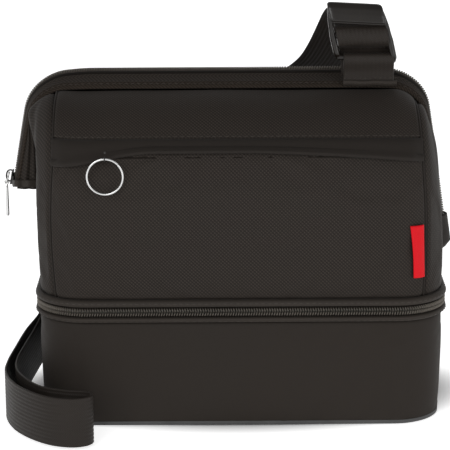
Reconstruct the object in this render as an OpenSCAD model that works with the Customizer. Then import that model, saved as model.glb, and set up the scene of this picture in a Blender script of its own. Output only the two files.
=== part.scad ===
// Insulated cooler bag with two compartments, zipped together at the waist.
// Millimetres. +Z is up, +X is to the right and -Y is the front.
// The origin is at the centre of the bottom face, on the surface that the bag stands on.

/* [Body] */
// Width of the bag's body, side to side
body_w = 280; // [260:5:300]
// Depth of the bag's body, front to back
body_d = 160; // [150:5:180]
// Height of the closed zip's crest above the ground
crest_z = 236; // [232:1:240]
// Radius of the four upright corners
corner_r = 34; // [28:1:38]
// Height of the lower compartment's walls
lower_h = 75.8; // [74:0.1:76]

/* [Walls] */
// Thickness of the outer nylon
fabric_t = 1.2; // [0.8:0.1:1.3]
// Thickness of the insulating foam in the lower compartment
foam_t = 5; // [3:0.5:6]
// Thickness of the wipe-clean liner
liner_t = 0.8; // [0.5:0.1:0.9]
// Thickness of the stiff board in the base
board_t = 2.5; // [1.5:0.5:3]

/* [Zips] */
// Gap between two rows of zip coil, where a slider's post runs
coil_gap = 1.4; // [1.3:0.1:1.6]
// Width of one row of coil
coil_w = 2.4; // [2:0.1:2.6]
// Thickness of the coil
coil_t = 2.4; // [2:0.1:2.6]
// Thickness of the zip's tape
tape_t = 0.8; // [0.5:0.1:0.8]

/* [Strap] */
// Width of the webbing
webbing_w = 36; // [32:1:38]
// Thickness of the webbing
webbing_t = 1.6; // [1.2:0.1:2]

/* [Hardware] */
// Outside diameter of the split ring on the pocket's slider
ring_d = 25.5; // [22:0.5:28]
// Thickness of the ring's wire
ring_wire = 1.8; // [1.4:0.1:2]
// Length of the mouth slider's pull bar
pull_bar_l = 25; // [20:1:28]

/* [Hidden] */
$fn = 48;

// Heights of the waist zip's layers
waist_z = 83.7;                       // middle of the waist zip, and the fold of the bag
lower_roll_z = 80;                    // top of the lower rolled hem
upper_roll_z = 87.5;                  // bottom of the upper rolled hem
wall_z = 92;                          // top of the upper rolled hem, where the upper walls start
roll_out = 3.3;                       // how far a rolled hem stands out from the wall
floor_t = 0.8;

// Front profile of the upper compartment: an upright wall, then a quarter of an ellipse
bend_z = 165;                         // where the wall starts to lean back
lean_y = 15;                          // distance of the ellipse's centre from the middle
lean_a = body_d / 2 - lean_y;         // its half-axis front to back
lean_b = 64;                          // its half-axis upward
stitch_t = 38;                        // ellipse angle of the topstitch line under the slope
flap_t = 22;                          // ellipse angle of the pocket flap's edge
pocket_t = 27;                        // ellipse angle of the pocket's zip
fold_z = bend_z + lean_b * sin(stitch_t);

// Mouth of the upper compartment
pivot_z = 180;                        // height of the hinge line at the ends of the mouth
open_slope = 0.86;                    // slope of the V that lets a half of the mouth turn
band_y = 21;                          // distance of the band's sewn edge from the middle
band_in = 9;                          // depth of the band under the crest
left_arc = [-121, crest_z - 32, 32, 10];   // centre x, centre z, radius, lean of the leg
right_arc = [105, crest_z - 30, 30, 8.6];

// Panel seams
seam_left = -131;
seam_right = 127;

black = [0.11, 0.10, 0.09];
dark = [0.06, 0.06, 0.05];
silver = [0.8, 0.8, 0.82];
foil = [0.72, 0.73, 0.75];
big = 400;

// ---------- helpers ----------

// The bag's plan: a rectangle with round corners, drawn `inset` inside the wall.
module outline(inset) {
  r = corner_r - inset;
  cx = body_w / 2 - corner_r;
  cy = body_d / 2 - corner_r;
  for (sx = [-1, 1], sy = [-1, 1]) translate([sx * cx, sy * cy]) circle(r, $fn = 96);
  square([2 * (cx + r), 2 * cy], center = true);
  square([2 * cx, 2 * (cy + r)], center = true);
}

module plate(inset, z0, z1) {
  translate([0, 0, z0]) linear_extrude(z1 - z0) outline(inset);
}

module wall_ring(inset, inner_inset, z0, z1) {
  translate([0, 0, z0]) linear_extrude(z1 - z0) difference() {
    outline(inset);
    outline(inner_inset);
  }
}

module tub(inset, inner_inset, z0, floor_z, z1) {
  plate(inset, z0, floor_z);
  wall_ring(inset, inner_inset, floor_z, z1);
}

// A block from one corner to the other.
module block(low, high) {
  translate(low) cube(high - low);
}

// Extrudes a drawing in Y and Z along X.
module along_x(x0, x1) {
  translate([x0, 0, 0]) rotate([90, 0, 90]) linear_extrude(x1 - x0) children();
}

// Extrudes a drawing in X and Z along Y.
module along_y(y0, y1) {
  translate([0, y1, 0]) rotate([90, 0, 0]) linear_extrude(y1 - y0) children();
}

function slope_point(t, out = 0) =
  [-lean_y - (lean_a + out) * cos(t), bend_z + (lean_b + out) * sin(t)];

// Half of the side profile, from the ground to the crest.
function half_profile(inset) = concat(
  [[-lean_y - lean_a + inset, 0]],
  [for (i = [0 : 12]) slope_point(90 * i / 12, -inset)]
);

module side_profile(inset) {
  half = half_profile(inset);
  polygon(concat(half, [for (i = [len(half) - 1 : -1 : 0]) [-half[i][0], half[i][1]]]));
}

// Points of the mouth's arch, seen from the front, drawn `inset` under the zip's crest.
function arc_points(arc, inset, a0, a1) = [for (i = [0 : 8])
  let (a = a0 + (a1 - a0) * i / 8)
  [arc[0] + (arc[2] - inset) * cos(a), arc[1] + (arc[2] - inset) * sin(a)]];

function leg_end(arc, inset, side, z) =
  let (lean = arc[3], x0 = arc[0] + side * (arc[2] - inset) * cos(lean),
       z0 = arc[1] + (arc[2] - inset) * sin(lean))
  [x0 + side * (z0 - z) * tan(lean), z];

function arch_points(inset, z_low) = concat(
  [leg_end(left_arc, inset, -1, z_low)],
  arc_points(left_arc, inset, 180 - left_arc[3], 90),
  arc_points(right_arc, inset, 90, right_arc[3]),
  [leg_end(right_arc, inset, 1, z_low)]
);

module arch(inset, z_low = 0) {
  polygon(arch_points(inset, z_low));
}

module arch_strip(inset, inner_inset, z_low) {
  outer = arch_points(inset, z_low);
  inner = arch_points(inner_inset, z_low);
  polygon(concat(outer, [for (i = [len(inner) - 1 : -1 : 0]) inner[i]]));
}

// The upper compartment's solid shape, drawn `inset` inside its skin.
module upper_form(inset) {
  intersection() {
    plate(inset, wall_z, crest_z);
    along_x(-big, big) side_profile(inset);
  }
}

module skin(inset, thickness) {
  difference() {
    upper_form(inset);
    upper_form(inset + thickness);
  }
}

// Space below the line where the gussets start to fold.
module below_fold() {
  along_x(-big, big) polygon([[-big, 0], [big, 0], [big, fold_z], [-slope_point(stitch_t)[0], fold_z],
    [0, pivot_z], [slope_point(stitch_t)[0], fold_z], [-big, fold_z]]);
}

// Space of the pieces that turn with a half of the mouth.
module above_pivot() {
  along_x(-big, big) polygon([[0, pivot_z + 0.3], [100, pivot_z + 0.3 + 100 * open_slope],
    [100, big], [-100, big], [-100, pivot_z + 0.3 + 100 * open_slope]]);
}

// A frame on the pocket's zip: local -Y is straight out of the slope, local +Z is up it.
module on_pocket() {
  p = slope_point(pocket_t);
  translate([0, p[0], p[1]]) rotate([-pocket_t, 0, 0]) children();
}

// A frame on the left leg of the mouth's zip: local -X is straight out, local +Z is up the leg.
leg_z = 160;
module on_left_leg() {
  p = leg_end(left_arc, 0, -1, leg_z);
  translate([p[0], 0, p[1]]) rotate([0, left_arc[3], 0]) children();
}

// Webbing swept along a route of [point, rough width direction].
function unit(v) = v / norm(v);

function tangent(route, i) =
  unit(route[min(i + 1, len(route) - 1)][0] - route[max(i - 1, 0)][0]);

function webbing_section(route, i) =
  let (d = tangent(route, i), w = unit(route[i][1] - (route[i][1] * d) * d), n = cross(d, w),
       a = w * webbing_w / 2, b = n * webbing_t / 2, p = route[i][0])
  [p + a + b, p - a + b, p - a - b, p + a - b];

module webbing(route) {
  n = len(route);
  points = [for (i = [0 : n - 1]) each webbing_section(route, i)];
  sides = [for (i = [0 : n - 2], k = [0 : 3])
    let (a = 4 * i + k, b = 4 * i + (k + 1) % 4)
    each [[a, b, b + 4], [a, b + 4, a + 4]]];
  last = 4 * (n - 1);
  ends = [[2, 1, 0], [3, 2, 0], [last, last + 1, last + 2], [last, last + 2, last + 3]];
  polyhedron(points, concat(sides, ends), convexity = 8);
}

// ---------- lower compartment ----------

module lower_shell() {
  color(black) tub(0, fabric_t, 0, fabric_t, lower_h);
}

module base_board() {
  color(dark) plate(fabric_t, fabric_t, fabric_t + board_t);
}

foam_z = fabric_t + board_t;
foam_in = fabric_t + foam_t;

module lower_foam() {
  color([0.85, 0.85, 0.85]) tub(fabric_t, foam_in, foam_z, foam_z + foam_t, lower_h);
}

module lower_liner() {
  z = foam_z + foam_t;
  color(foil) tub(foam_in, foam_in + liner_t, z, z + liner_t, lower_h);
}

module lower_binding() {
  color(black) wall_ring(-roll_out, foam_in + liner_t, lower_h, lower_roll_z);
}

// A row of waist zip, tape inside and coil outside, that stops at the fold on the back.
module waist_zip_row(z_tape, z_coil, z_tape_top, z_coil_top) {
  difference() {
    union() {
      wall_ring(0, tape_t, z_tape, z_tape_top);
      wall_ring(-coil_t, 0, z_coil, z_coil_top);
    }
    block([-104, 50, 0], [104, 100, 100]);
  }
}

module lower_zip_row() {
  top = waist_z - coil_gap / 2;
  color(dark) waist_zip_row(lower_roll_z, top - coil_w, top, top);
}

module upper_zip_row() {
  low = waist_z + coil_gap / 2;
  color(dark) waist_zip_row(low, low, upper_roll_z, low + coil_w);
}

slider_y = 36;                        // where the waist slider is parked on the right side
slider_l = 10;

module lower_slider() {
  x = body_w / 2;
  color(silver) {
    block([x + coil_t + 0.3, slider_y - slider_l / 2, 80.4], [x + coil_t + 1.5, slider_y + slider_l / 2, 87.0]);
    block([x - 1.3, slider_y - 2, waist_z - 0.5], [x + coil_t + 0.4, slider_y + 2, waist_z + 0.5]);
    block([x - 2.3, slider_y - slider_l / 2, 80.6], [x - 1.2, slider_y + slider_l / 2, waist_z + 0.4]);
    for (z = [waist_z - 2.4, waist_z + 1.4])
      block([x + coil_t + 1.4, slider_y - 1.6, z], [x + coil_t + 4.6, slider_y + 1.6, z + 1]);
  }
}

pull_x = body_w / 2 + coil_t + 3.2;   // hinge line of the waist slider's pull

module lower_pull() {
  color(black) {
    translate([pull_x, slider_y, waist_z - 1.2]) cylinder(h = 2.4, r = 1.1);
    block([pull_x - 0.8, slider_y, waist_z - 1.2], [pull_x + 0.8, slider_y + 6, waist_z + 1.2]);
    block([pull_x - 1.2, slider_y + 5, waist_z - 3.5], [pull_x + 1.2, slider_y + 24, waist_z + 3.5]);
  }
}

// ---------- waist ----------

cover_z = waist_z + coil_gap / 2;
skin_in = 2.8;                        // where the upper compartment's foam starts
upper_foam_t = 3.4;

module divider_cover() {
  color(black) plate(tape_t + 0.2, cover_z, cover_z + 1);
}

module divider_foam() {
  color([0.85, 0.85, 0.85]) plate(tape_t + 0.2, cover_z + 1, wall_z - floor_t);
}

module upper_binding() {
  color(black) wall_ring(-roll_out, tape_t + 0.2, upper_roll_z, wall_z);
}

module hinge_strip() {
  y = body_d / 2 + roll_out + 0.1;
  color(black) block([-103, y, 77], [103, y + fabric_t, 91]);
}

// ---------- upper compartment ----------

wall_top_z = 178;                     // top of the foam and liner, under the mouth

module upper_foam() {
  color([0.85, 0.85, 0.85]) intersection() {
    skin(skin_in, upper_foam_t);
    block([-big, -big, wall_z], [big, big, wall_top_z]);
  }
}

module upper_liner() {
  inner = skin_in + upper_foam_t;
  color(foil) {
    plate(tape_t + 0.2, wall_z - floor_t, wall_z);
    intersection() {
      skin(inner, liner_t);
      block([-big, -big, wall_z], [big, big, wall_top_z]);
    }
  }
}

// The inner front wall, behind the pocket.
module front_panel() {
  color(black) intersection() {
    skin(fabric_t + 0.2, fabric_t);
    block([seam_left, -big, wall_z], [seam_right, -band_y, fold_z]);
  }
}

module rear_panel() {
  color(black) intersection() {
    skin(0, fabric_t);
    block([seam_left, band_y, wall_z], [seam_right, big, fold_z]);
  }
}

module gusset_left() {
  color(black) intersection() {
    skin(0, fabric_t);
    below_fold();
    block([-big, -big, wall_z], [seam_left, big, big]);
  }
}

module gusset_right() {
  color(black) difference() {
    intersection() {
      skin(0, fabric_t);
      below_fold();
      block([seam_right, -big, wall_z], [big, big, big]);
    }
    block([seam_right, -9.5, 108], [big, 9.5, big]);
  }
}

// ---------- front pocket ----------

module pocket_panel() {
  color(black) intersection() {
    skin(0, fabric_t);
    block([seam_left, -big, wall_z], [seam_right, -band_y, 188]);
  }
}

module pocket_zip_tape() {
  color(dark) on_pocket() for (s = [-1, 1])
    translate([-126, 0.4, s < 0 ? -6 : coil_gap / 2]) cube([248, 0.7, 6 - coil_gap / 2]);
}

module pocket_zip_coil() {
  color(dark) on_pocket() for (s = [-1, 1])
    translate([-124, -1.6, s < 0 ? -coil_gap / 2 - coil_w : coil_gap / 2]) cube([244, 2, coil_w]);
}

// The flap sewn down along the topstitch line, whose rolled edge hangs over the zip.
module pocket_flap() {
  color(black) intersection() {
    along_x(seam_left, seam_right) polygon([
      slope_point(stitch_t, 0.1), slope_point(34, 2.4), slope_point(30, 3.4), slope_point(flap_t, 3.6),
      slope_point(flap_t, 5), slope_point(30, 4.8), slope_point(34, 3.8), slope_point(stitch_t, 1.4)]);
    plate(-5, 0, crest_z);
  }
}

ring_x = -90;                         // where the pocket's slider is parked
eye_y = -83;
eye_z = 190;

module pocket_slider() {
  color(silver) {
    on_pocket() {
      block([ring_x - 4, -3, -7], [ring_x + 4, -1.9, 4]);
      block([ring_x - 2, -2, -0.5], [ring_x + 2, 0.3, 0.5]);
    }
    block([ring_x - 1, -83.5, 186.4], [ring_x + 1, -76.4, 188.4]);
    block([ring_x - 1, -79.4, 188], [ring_x + 1, -76.6, 189.2]);
    translate([ring_x - 1, eye_y, eye_z]) rotate([0, 90, 0]) difference() {
      cylinder(h = 2, r = 2.5);
      translate([0, 0, -1]) cylinder(h = 4, r = 1.4);
    }
  }
}

module pocket_ring() {
  r = (ring_d - ring_wire) / 2;
  color(silver) translate([ring_x, eye_y, eye_z - r]) rotate([90, 0, 0])
    rotate_extrude($fn = 96) translate([r, 0]) circle(d = ring_wire, $fn = 24);
}

module label_tab() {
  color([0.85, 0.1, 0.14]) translate([106, -46, 0]) rotate([0, 0, 30])
    block([-5.4, -corner_r - 1.6, 107], [5.4, -corner_r - 0.4, 144.5]);
}

// ---------- mouth ----------

// The slope between the topstitch line and the mouth's band.
module slope_panel() {
  intersection() {
    skin(0, fabric_t);
    along_y(-big, big) arch(0);
    block([seam_left, -big, fold_z + 0.2], [seam_right, -band_y - 0.3, big]);
  }
}

module top_front_panel() {
  color(black) slope_panel();
}

module top_rear_panel() {
  color(black) mirror([0, 1, 0]) slope_panel();
}

// The gussets' upper parts fold when the mouth opens.
fold_y = band_y + 0.5;

module folding_part() {
  difference() {
    children();
    translate([0, 0, 0.3]) below_fold();
    block([-big, -fold_y, 0], [big, fold_y, big]);
  }
}

// On the left, two webs carry the gusset out to the zip's free tail.
module gusset_fold_left() {
  color(black) {
    folding_part() intersection() {
      skin(0, fabric_t);
      along_y(-big, big) arch(0);
      block([-big, -big, wall_z], [seam_left - 0.2, big, big]);
    }
    intersection() {
      for (s = [0, 1]) mirror([0, s, 0])
        block([-170, fold_y, tail_z], [-body_w / 2 - 0.1, fold_y + fabric_t, fold_z]);
      along_y(-big, big) arch(coil_t);
    }
  }
}

module gusset_fold_right() {
  color(black) folding_part() intersection() {
    along_y(-big, big) arch_strip(0, fabric_t, 100);
    along_x(-big, big) side_profile(0);
    block([seam_right + 0.2, -big, 0], [big, big, big]);
  }
}

// A front strip of the mouth that turns with it, between two depths and two distances from the middle.
module mouth_strip(inset, inner_inset, y0, y1) {
  intersection() {
    along_y(-y1, -y0) arch_strip(inset, inner_inset, pivot_z - 10);
    above_pivot();
  }
}

tape_in = coil_t - tape_t;            // the tape lies under the coil

module mouth_band_front() {
  color(black) mouth_strip(coil_t, band_in, 8, band_y);
}

module mouth_band_rear() {
  color(black) mirror([0, 1, 0]) mouth_strip(coil_t, band_in, 8, band_y);
}

module mouth_tape_front() {
  color(dark) mouth_strip(tape_in, coil_t, coil_gap / 2 + coil_w, 9);
}

module mouth_tape_rear() {
  color(dark) mirror([0, 1, 0]) mouth_strip(tape_in, coil_t, coil_gap / 2 + coil_w, 9);
}

module mouth_coil_front() {
  color(dark) mouth_strip(0, coil_t, coil_gap / 2, coil_gap / 2 + coil_w);
}

module mouth_coil_rear() {
  color(dark) mirror([0, 1, 0]) mouth_strip(0, coil_t, coil_gap / 2, coil_gap / 2 + coil_w);
}

// Tape and coil of a leg of the zip below the pivot, kept to one side of the bag.
module fixed_leg(z0, side) {
  intersection() {
    union() {
      for (s = [0, 1]) mirror([0, s, 0]) {
        along_y(-coil_gap / 2 - coil_w, -coil_gap / 2) arch_strip(0, coil_t, z0);
        along_y(-9, -coil_gap / 2 - coil_w) arch_strip(tape_in, coil_t, z0);
      }
    }
    block(side < 0 ? [-big, -big, z0] : [100, -big, z0],
          side < 0 ? [-100, big, pivot_z - 0.3] : [big, big, pivot_z - 0.3]);
  }
}

tail_z = 153;

module zip_tail_left() {
  color(dark) fixed_leg(tail_z, -1);
}

module tail_band_left() {
  color(black) intersection() {
    for (s = [0, 1]) mirror([0, s, 0])
      along_y(-band_y, -8) arch_strip(coil_t, band_in, tail_z);
    block([-big, -big, tail_z], [-100, big, pivot_z - 0.3]);
  }
}

module zip_leg_right() {
  color(dark) fixed_leg(112, 1);
}

module zip_end_tab() {
  color(black) intersection() {
    along_y(-9, 9) arch_strip(-1.6, -0.1, 106);
    block([100, -big, 106], [big, big, 130]);
  }
}

// The slider wraps the two rows of coil on the left leg. Its post runs in their gap.
module top_slider() {
  color(silver) on_left_leg() {
    block([-1.4, -4.5, -4.5], [-0.3, 4.5, 4.5]);
    block([-0.4, -0.5, 0], [coil_t + 0.4, 0.5, 3]);
    block([coil_t + 0.3, -4.5, -4.5], [coil_t + 1.3, 4.5, 4.5]);
    for (s = [-1, 1]) block([-4.6, s * 1.9 - 0.5, 1.5], [-1.3, s * 1.9 + 0.5, 4.3]);
  }
}

link_pivot = [leg_end(left_arc, 0, -1, leg_z)[0] - 2.9, 0, leg_z + 3];
link_drop = [-1.9, 0, -6.8];          // from the link's upper rod to its lower rod
bar_pivot = link_pivot + link_drop;

// A small wire link: two runs of wire joined by a rod at each end.
module top_pull_link() {
  color(silver) {
    translate(link_pivot) rotate([90, 0, 0]) cylinder(h = 2.6, r = 0.7, center = true);
    translate(bar_pivot) rotate([90, 0, 0]) cylinder(h = 2.6, r = 0.6, center = true);
    for (s = [-1, 1]) translate((link_pivot + bar_pivot) / 2 + [0, s * 1.0, 0])
      rotate([0, atan2(link_drop[0], link_drop[2]), 0]) cube([0.8, 0.55, norm(link_drop)], center = true);
  }
}

// The slim bar hangs from the link's lower rod by an eye.
module top_pull_bar() {
  color(silver) translate(bar_pivot) {
    rotate([90, 0, 0]) difference() {
      cylinder(h = 1.2, r = 1.7, center = true);
      cylinder(h = 3, r = 0.8, center = true);
    }
    translate([0, 0, -pull_bar_l + 1.2]) cylinder(h = pull_bar_l - 2.4, r = 1.1);
    translate([0, 0, -pull_bar_l + 1.2]) sphere(r = 1.1);
  }
}

// ---------- strap ----------

tab_x = 90;                           // middle of the strap's front anchor
tab_y = -band_y - 1.9;                // middle of the tab's two layers
buckle_w = 46;
buckle_h = 36;
buckle_t = 4;
buckle_x = 89;
buckle_low = 246;                     // bottom of the buckle
bar_h = 4;                            // height of its lower bar

module strap_hem() {
  half = webbing_w / 2 + 0.5;
  color(black) block([tab_x - half, tab_y - 3.2, 229.4], [tab_x + half, tab_y - webbing_t, 233]);
}

// Two layers sewn together below the buckle, parted round its lower bar.
module strap_tab() {
  half = webbing_w / 2;
  parted = buckle_t / 2 + 0.3;
  cap = buckle_low + bar_h + 0.3;
  color(black) along_x(tab_x - half, tab_x + half) translate([tab_y, 0]) difference() {
    polygon([[-webbing_t, 229.2], [-webbing_t, 240], [-parted - webbing_t, 244.5], [-parted - webbing_t, cap + webbing_t],
      [parted + webbing_t, cap + webbing_t], [parted + webbing_t, 244.5], [webbing_t, 240], [webbing_t, 229.2]]);
    polygon([[-0.1, 241.5], [-parted, 245], [-parted, cap], [parted, cap], [parted, 245], [0.1, 241.5]]);
  }
}

// A ladder lock: a frame with three cross bars and a grip lip at the top.
module buckle() {
  w = buckle_w / 2;
  color(dark) translate([buckle_x, tab_y, buckle_low]) {
    difference() {
      block([-w, -buckle_t / 2, 0], [w, buckle_t / 2, buckle_h]);
      block([-w + 3.5, -5, bar_h], [w - 3.5, 5, 15]);
      block([-w + 3.5, -5, 20], [w - 3.5, 5, 28]);
    }
    block([-w + 1, -7, 28], [w - 1, -1.9, 32]);
  }
}

across = [1, 0, 0];
upright = [0, 0, -1];

over_route = [
  [[84, -14, 284], across], [[81, -4, 287], across], [[76, 10, 285], across], [[68, 28, 275], across],
  [[58, 48, 256], across], [[46, 66, 233], across], [[30, 80, 206], across],
];

loop_route = [
  [[28.3, 81, 203.8], across], [[0, 89, 172], across], [[-35, 93, 137], across], [[-70, 93, 105], across],
  [[-103, 93, 79], across], [[-132, 88, 60], upright], [[-153, 64, 46], upright], [[-164, 30, 35], upright],
  [[-168, -8, 27], upright], [[-166, -48, 21], upright], [[-157, -82, 20], upright], [[-143, -107, 20], upright],
  [[-128, -121, 20], upright], [[-113, -126, 20], upright], [[-102, -123, 20], upright], [[-98, -116, 20], upright],
  [[-102, -110, 20], upright], [[-118, -106, 20], upright], [[-136, -97, 20], upright], [[-148, -73, 20], upright],
  [[-154, -40, 20], upright], [[-155, 0, 20], upright], [[-152, 36, 22], upright], [[-143, 62, 28], upright],
  [[-126, 78, 40], upright], [[-110, 86, 58], upright], [[-99, 87, 82], across], [[-94, 86, 110], across],
  [[-93, 84, 140], across], [[-93, 83, 166], across], [[-93, 79.6, 180], across], [[-93, 76.8, 189], across],
  [[-93, 72.9, 197.1], across],
];

module strap_over() {
  color(black) webbing(over_route);
}

module strap_loop() {
  color(black) webbing(loop_route);
}

module strap_patch_rear() {
  p = slope_point(34, 0.2);
  color(black) translate([-93, -p[0], p[1]]) rotate([34, 0, 0])
    translate([-webbing_w / 2 - 1, 0, -5]) cube([webbing_w + 2, 1.2, 8]);
}

lower_shell();
base_board();
lower_foam();
lower_liner();
lower_binding();
lower_zip_row();
lower_slider();
lower_pull();
divider_cover();
divider_foam();
upper_liner();
upper_foam();
upper_binding();
upper_zip_row();
hinge_strip();
front_panel();
rear_panel();
gusset_left();
gusset_right();
pocket_panel();
pocket_zip_tape();
pocket_zip_coil();
pocket_flap();
pocket_slider();
pocket_ring();
top_front_panel();
top_rear_panel();
gusset_fold_left();
gusset_fold_right();
mouth_band_front();
mouth_band_rear();
mouth_tape_front();
mouth_tape_rear();
mouth_coil_front();
mouth_coil_rear();
zip_tail_left();
tail_band_left();
zip_leg_right();
zip_end_tab();
top_slider();
top_pull_link();
top_pull_bar();
label_tab();
strap_hem();
strap_tab();
buckle();
strap_over();
strap_loop();
strap_patch_rear();
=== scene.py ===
# %% [markdown]
# # A soft cooler bag, sewn piece by piece
# The bag is a lower box and an upper compartment, zipped together at the waist. The upper one opens at
# the top like a doctor's bag. Each sewn panel is a piece of its own, laid over a frame that already
# holds every size and every hinge, so the looks never have to be fitted afterwards.

# %% Load the frame
import math
import time

import bmesh
import bpy
import numpy as np
from mathutils import Matrix, Vector


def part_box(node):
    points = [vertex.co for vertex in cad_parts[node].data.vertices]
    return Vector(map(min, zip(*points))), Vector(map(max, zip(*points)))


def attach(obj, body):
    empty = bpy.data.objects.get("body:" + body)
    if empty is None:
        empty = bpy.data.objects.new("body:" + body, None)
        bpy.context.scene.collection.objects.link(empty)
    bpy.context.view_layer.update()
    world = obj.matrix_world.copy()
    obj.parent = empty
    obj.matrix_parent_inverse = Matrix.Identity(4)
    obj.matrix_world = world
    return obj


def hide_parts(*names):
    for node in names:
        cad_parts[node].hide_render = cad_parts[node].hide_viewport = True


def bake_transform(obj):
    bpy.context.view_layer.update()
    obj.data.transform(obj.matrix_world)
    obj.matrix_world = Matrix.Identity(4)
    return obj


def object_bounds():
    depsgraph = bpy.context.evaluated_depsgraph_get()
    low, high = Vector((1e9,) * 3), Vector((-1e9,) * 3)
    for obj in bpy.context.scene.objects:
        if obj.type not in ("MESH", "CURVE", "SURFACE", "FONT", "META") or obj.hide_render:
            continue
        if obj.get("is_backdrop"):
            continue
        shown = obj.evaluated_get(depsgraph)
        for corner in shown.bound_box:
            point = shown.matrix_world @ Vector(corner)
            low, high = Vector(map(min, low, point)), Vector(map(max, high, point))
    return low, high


started = time.time()
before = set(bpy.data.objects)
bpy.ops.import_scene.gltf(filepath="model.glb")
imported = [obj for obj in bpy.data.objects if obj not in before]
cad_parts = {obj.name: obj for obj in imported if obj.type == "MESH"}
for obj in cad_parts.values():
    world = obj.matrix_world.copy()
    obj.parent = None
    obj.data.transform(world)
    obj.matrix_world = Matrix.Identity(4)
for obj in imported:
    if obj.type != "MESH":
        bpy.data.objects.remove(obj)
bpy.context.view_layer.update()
MM = 0.001

# %% [markdown]
# ## Sizes
# Lengths below are in millimetres, because a maker thinks in them, and are scaled once when a mesh is
# made. Whatever the frame already knows is read from it.


# %% Sizes from the frame
def node_box(name):
    """Lowest and highest corner of a node, in millimetres."""
    low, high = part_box(name)
    return np.array(low) / MM, np.array(high) / MM


shell_low, shell_high = node_box("lower_shell")
HALF_W, HALF_D = shell_high[0], shell_high[1]
WALL_TOP = shell_high[2]
LOWER_ROLL = node_box("lower_binding")[1][2]
UPPER_ROLL, WALL_Z = node_box("upper_binding")[0][2], node_box("upper_binding")[1][2]
WAIST_Z = (LOWER_ROLL + UPPER_ROLL) / 2
CREST_Z = node_box("mouth_coil_front")[1][2]
TAIL_Z = node_box("zip_tail_left")[0][2]
LEG_Z = node_box("zip_leg_right")[0][2]
SEAM_LEFT, SEAM_RIGHT = node_box("pocket_panel")[0][0], node_box("pocket_panel")[1][0]
CORNER_R = 34.0
BEND_Z, LEAN_Y, LEAN_B = 165.0, 15.0, 64.0
FLAP_T, STITCH_T, SLOPE_END_T = 24.6, 35.3, 84.7
BAND_Y, BAND_IN = 21.0, 9.0
LEFT_ARC = (-121.0, CREST_Z - 32, 32.0, math.radians(10))
RIGHT_ARC = (105.0, CREST_Z - 30, 30.0, math.radians(8.6))
print("body", 2 * HALF_W, "x", 2 * HALF_D, "crest", round(CREST_Z, 1))

# %% [markdown]
# ## Camera, floor and light
# A long lens a metre and a half away, looking down by 15 degrees, keeps the box's edges nearly
# parallel. Black cloth only shows its weave when large soft lights graze it, so the lights are big.

# %% Camera
camera = bpy.data.objects.new("camera", bpy.data.cameras.new("camera"))
bpy.context.scene.collection.objects.link(camera)
camera.data.lens = 167.6
camera.location = (-0.0085, -1.4489, 0.5117)
camera.rotation_euler = (math.radians(75), math.radians(0.35), 0)
camera.data.clip_start, camera.data.clip_end = 0.05, 20
bpy.context.scene.camera = camera


# %% Floor, world and lights
def area_light(name, place, target, size, power):
    """A square soft light aimed at a point."""
    light = bpy.data.objects.new(name, bpy.data.lights.new(name, "AREA"))
    light.data.size, light.data.energy = size, power
    light.location = place
    light.rotation_euler = (Vector(target) - Vector(place)).to_track_quat("-Z", "Y").to_euler()
    bpy.context.scene.collection.objects.link(light)


floor_mesh = bpy.data.meshes.new("floor")
floor_mesh.from_pydata([(-6, -6, 0), (6, -6, 0), (6, 6, 0), (-6, 6, 0)], [], [(0, 1, 2, 3)])
floor = bpy.data.objects.new("floor", floor_mesh)
bpy.context.scene.collection.objects.link(floor)
floor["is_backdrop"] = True
world = bpy.data.worlds.new("studio")
bpy.context.scene.world = world
world.use_nodes = True
sky = world.node_tree
direction, split, fade = (sky.nodes.new(kind) for kind in ("ShaderNodeTexCoord", "ShaderNodeSeparateXYZ", "ShaderNodeMapRange"))
sky.links.new(direction.outputs["Generated"], split.inputs[0])
sky.links.new(split.outputs[2], fade.inputs[0])
# the room is bright at eye level and dimmer overhead
fade.inputs[1].default_value, fade.inputs[2].default_value = 0.15, 1.0
fade.inputs[3].default_value, fade.inputs[4].default_value = 0.95, 0.25
sky.links.new(fade.outputs[0], sky.nodes["Background"].inputs["Strength"])
sky.nodes["Background"].inputs["Color"].default_value = (1, 1, 1, 1)
area_light("key", (-0.8, -1.7, 0.9), (0, 0, 0.12), 1.0, 14)
area_light("fill", (1.2, -1.3, 0.5), (0, 0, 0.12), 0.9, 7)
bpy.context.scene.view_settings.view_transform = "Standard"

# %% [markdown]
# ## Finishes
# Every finish is built from nodes. Cloth reads the piece's own UV map, which is laid out in metres
# along the cloth, so a weave keeps its real scale and follows each panel round its corners.


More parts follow.
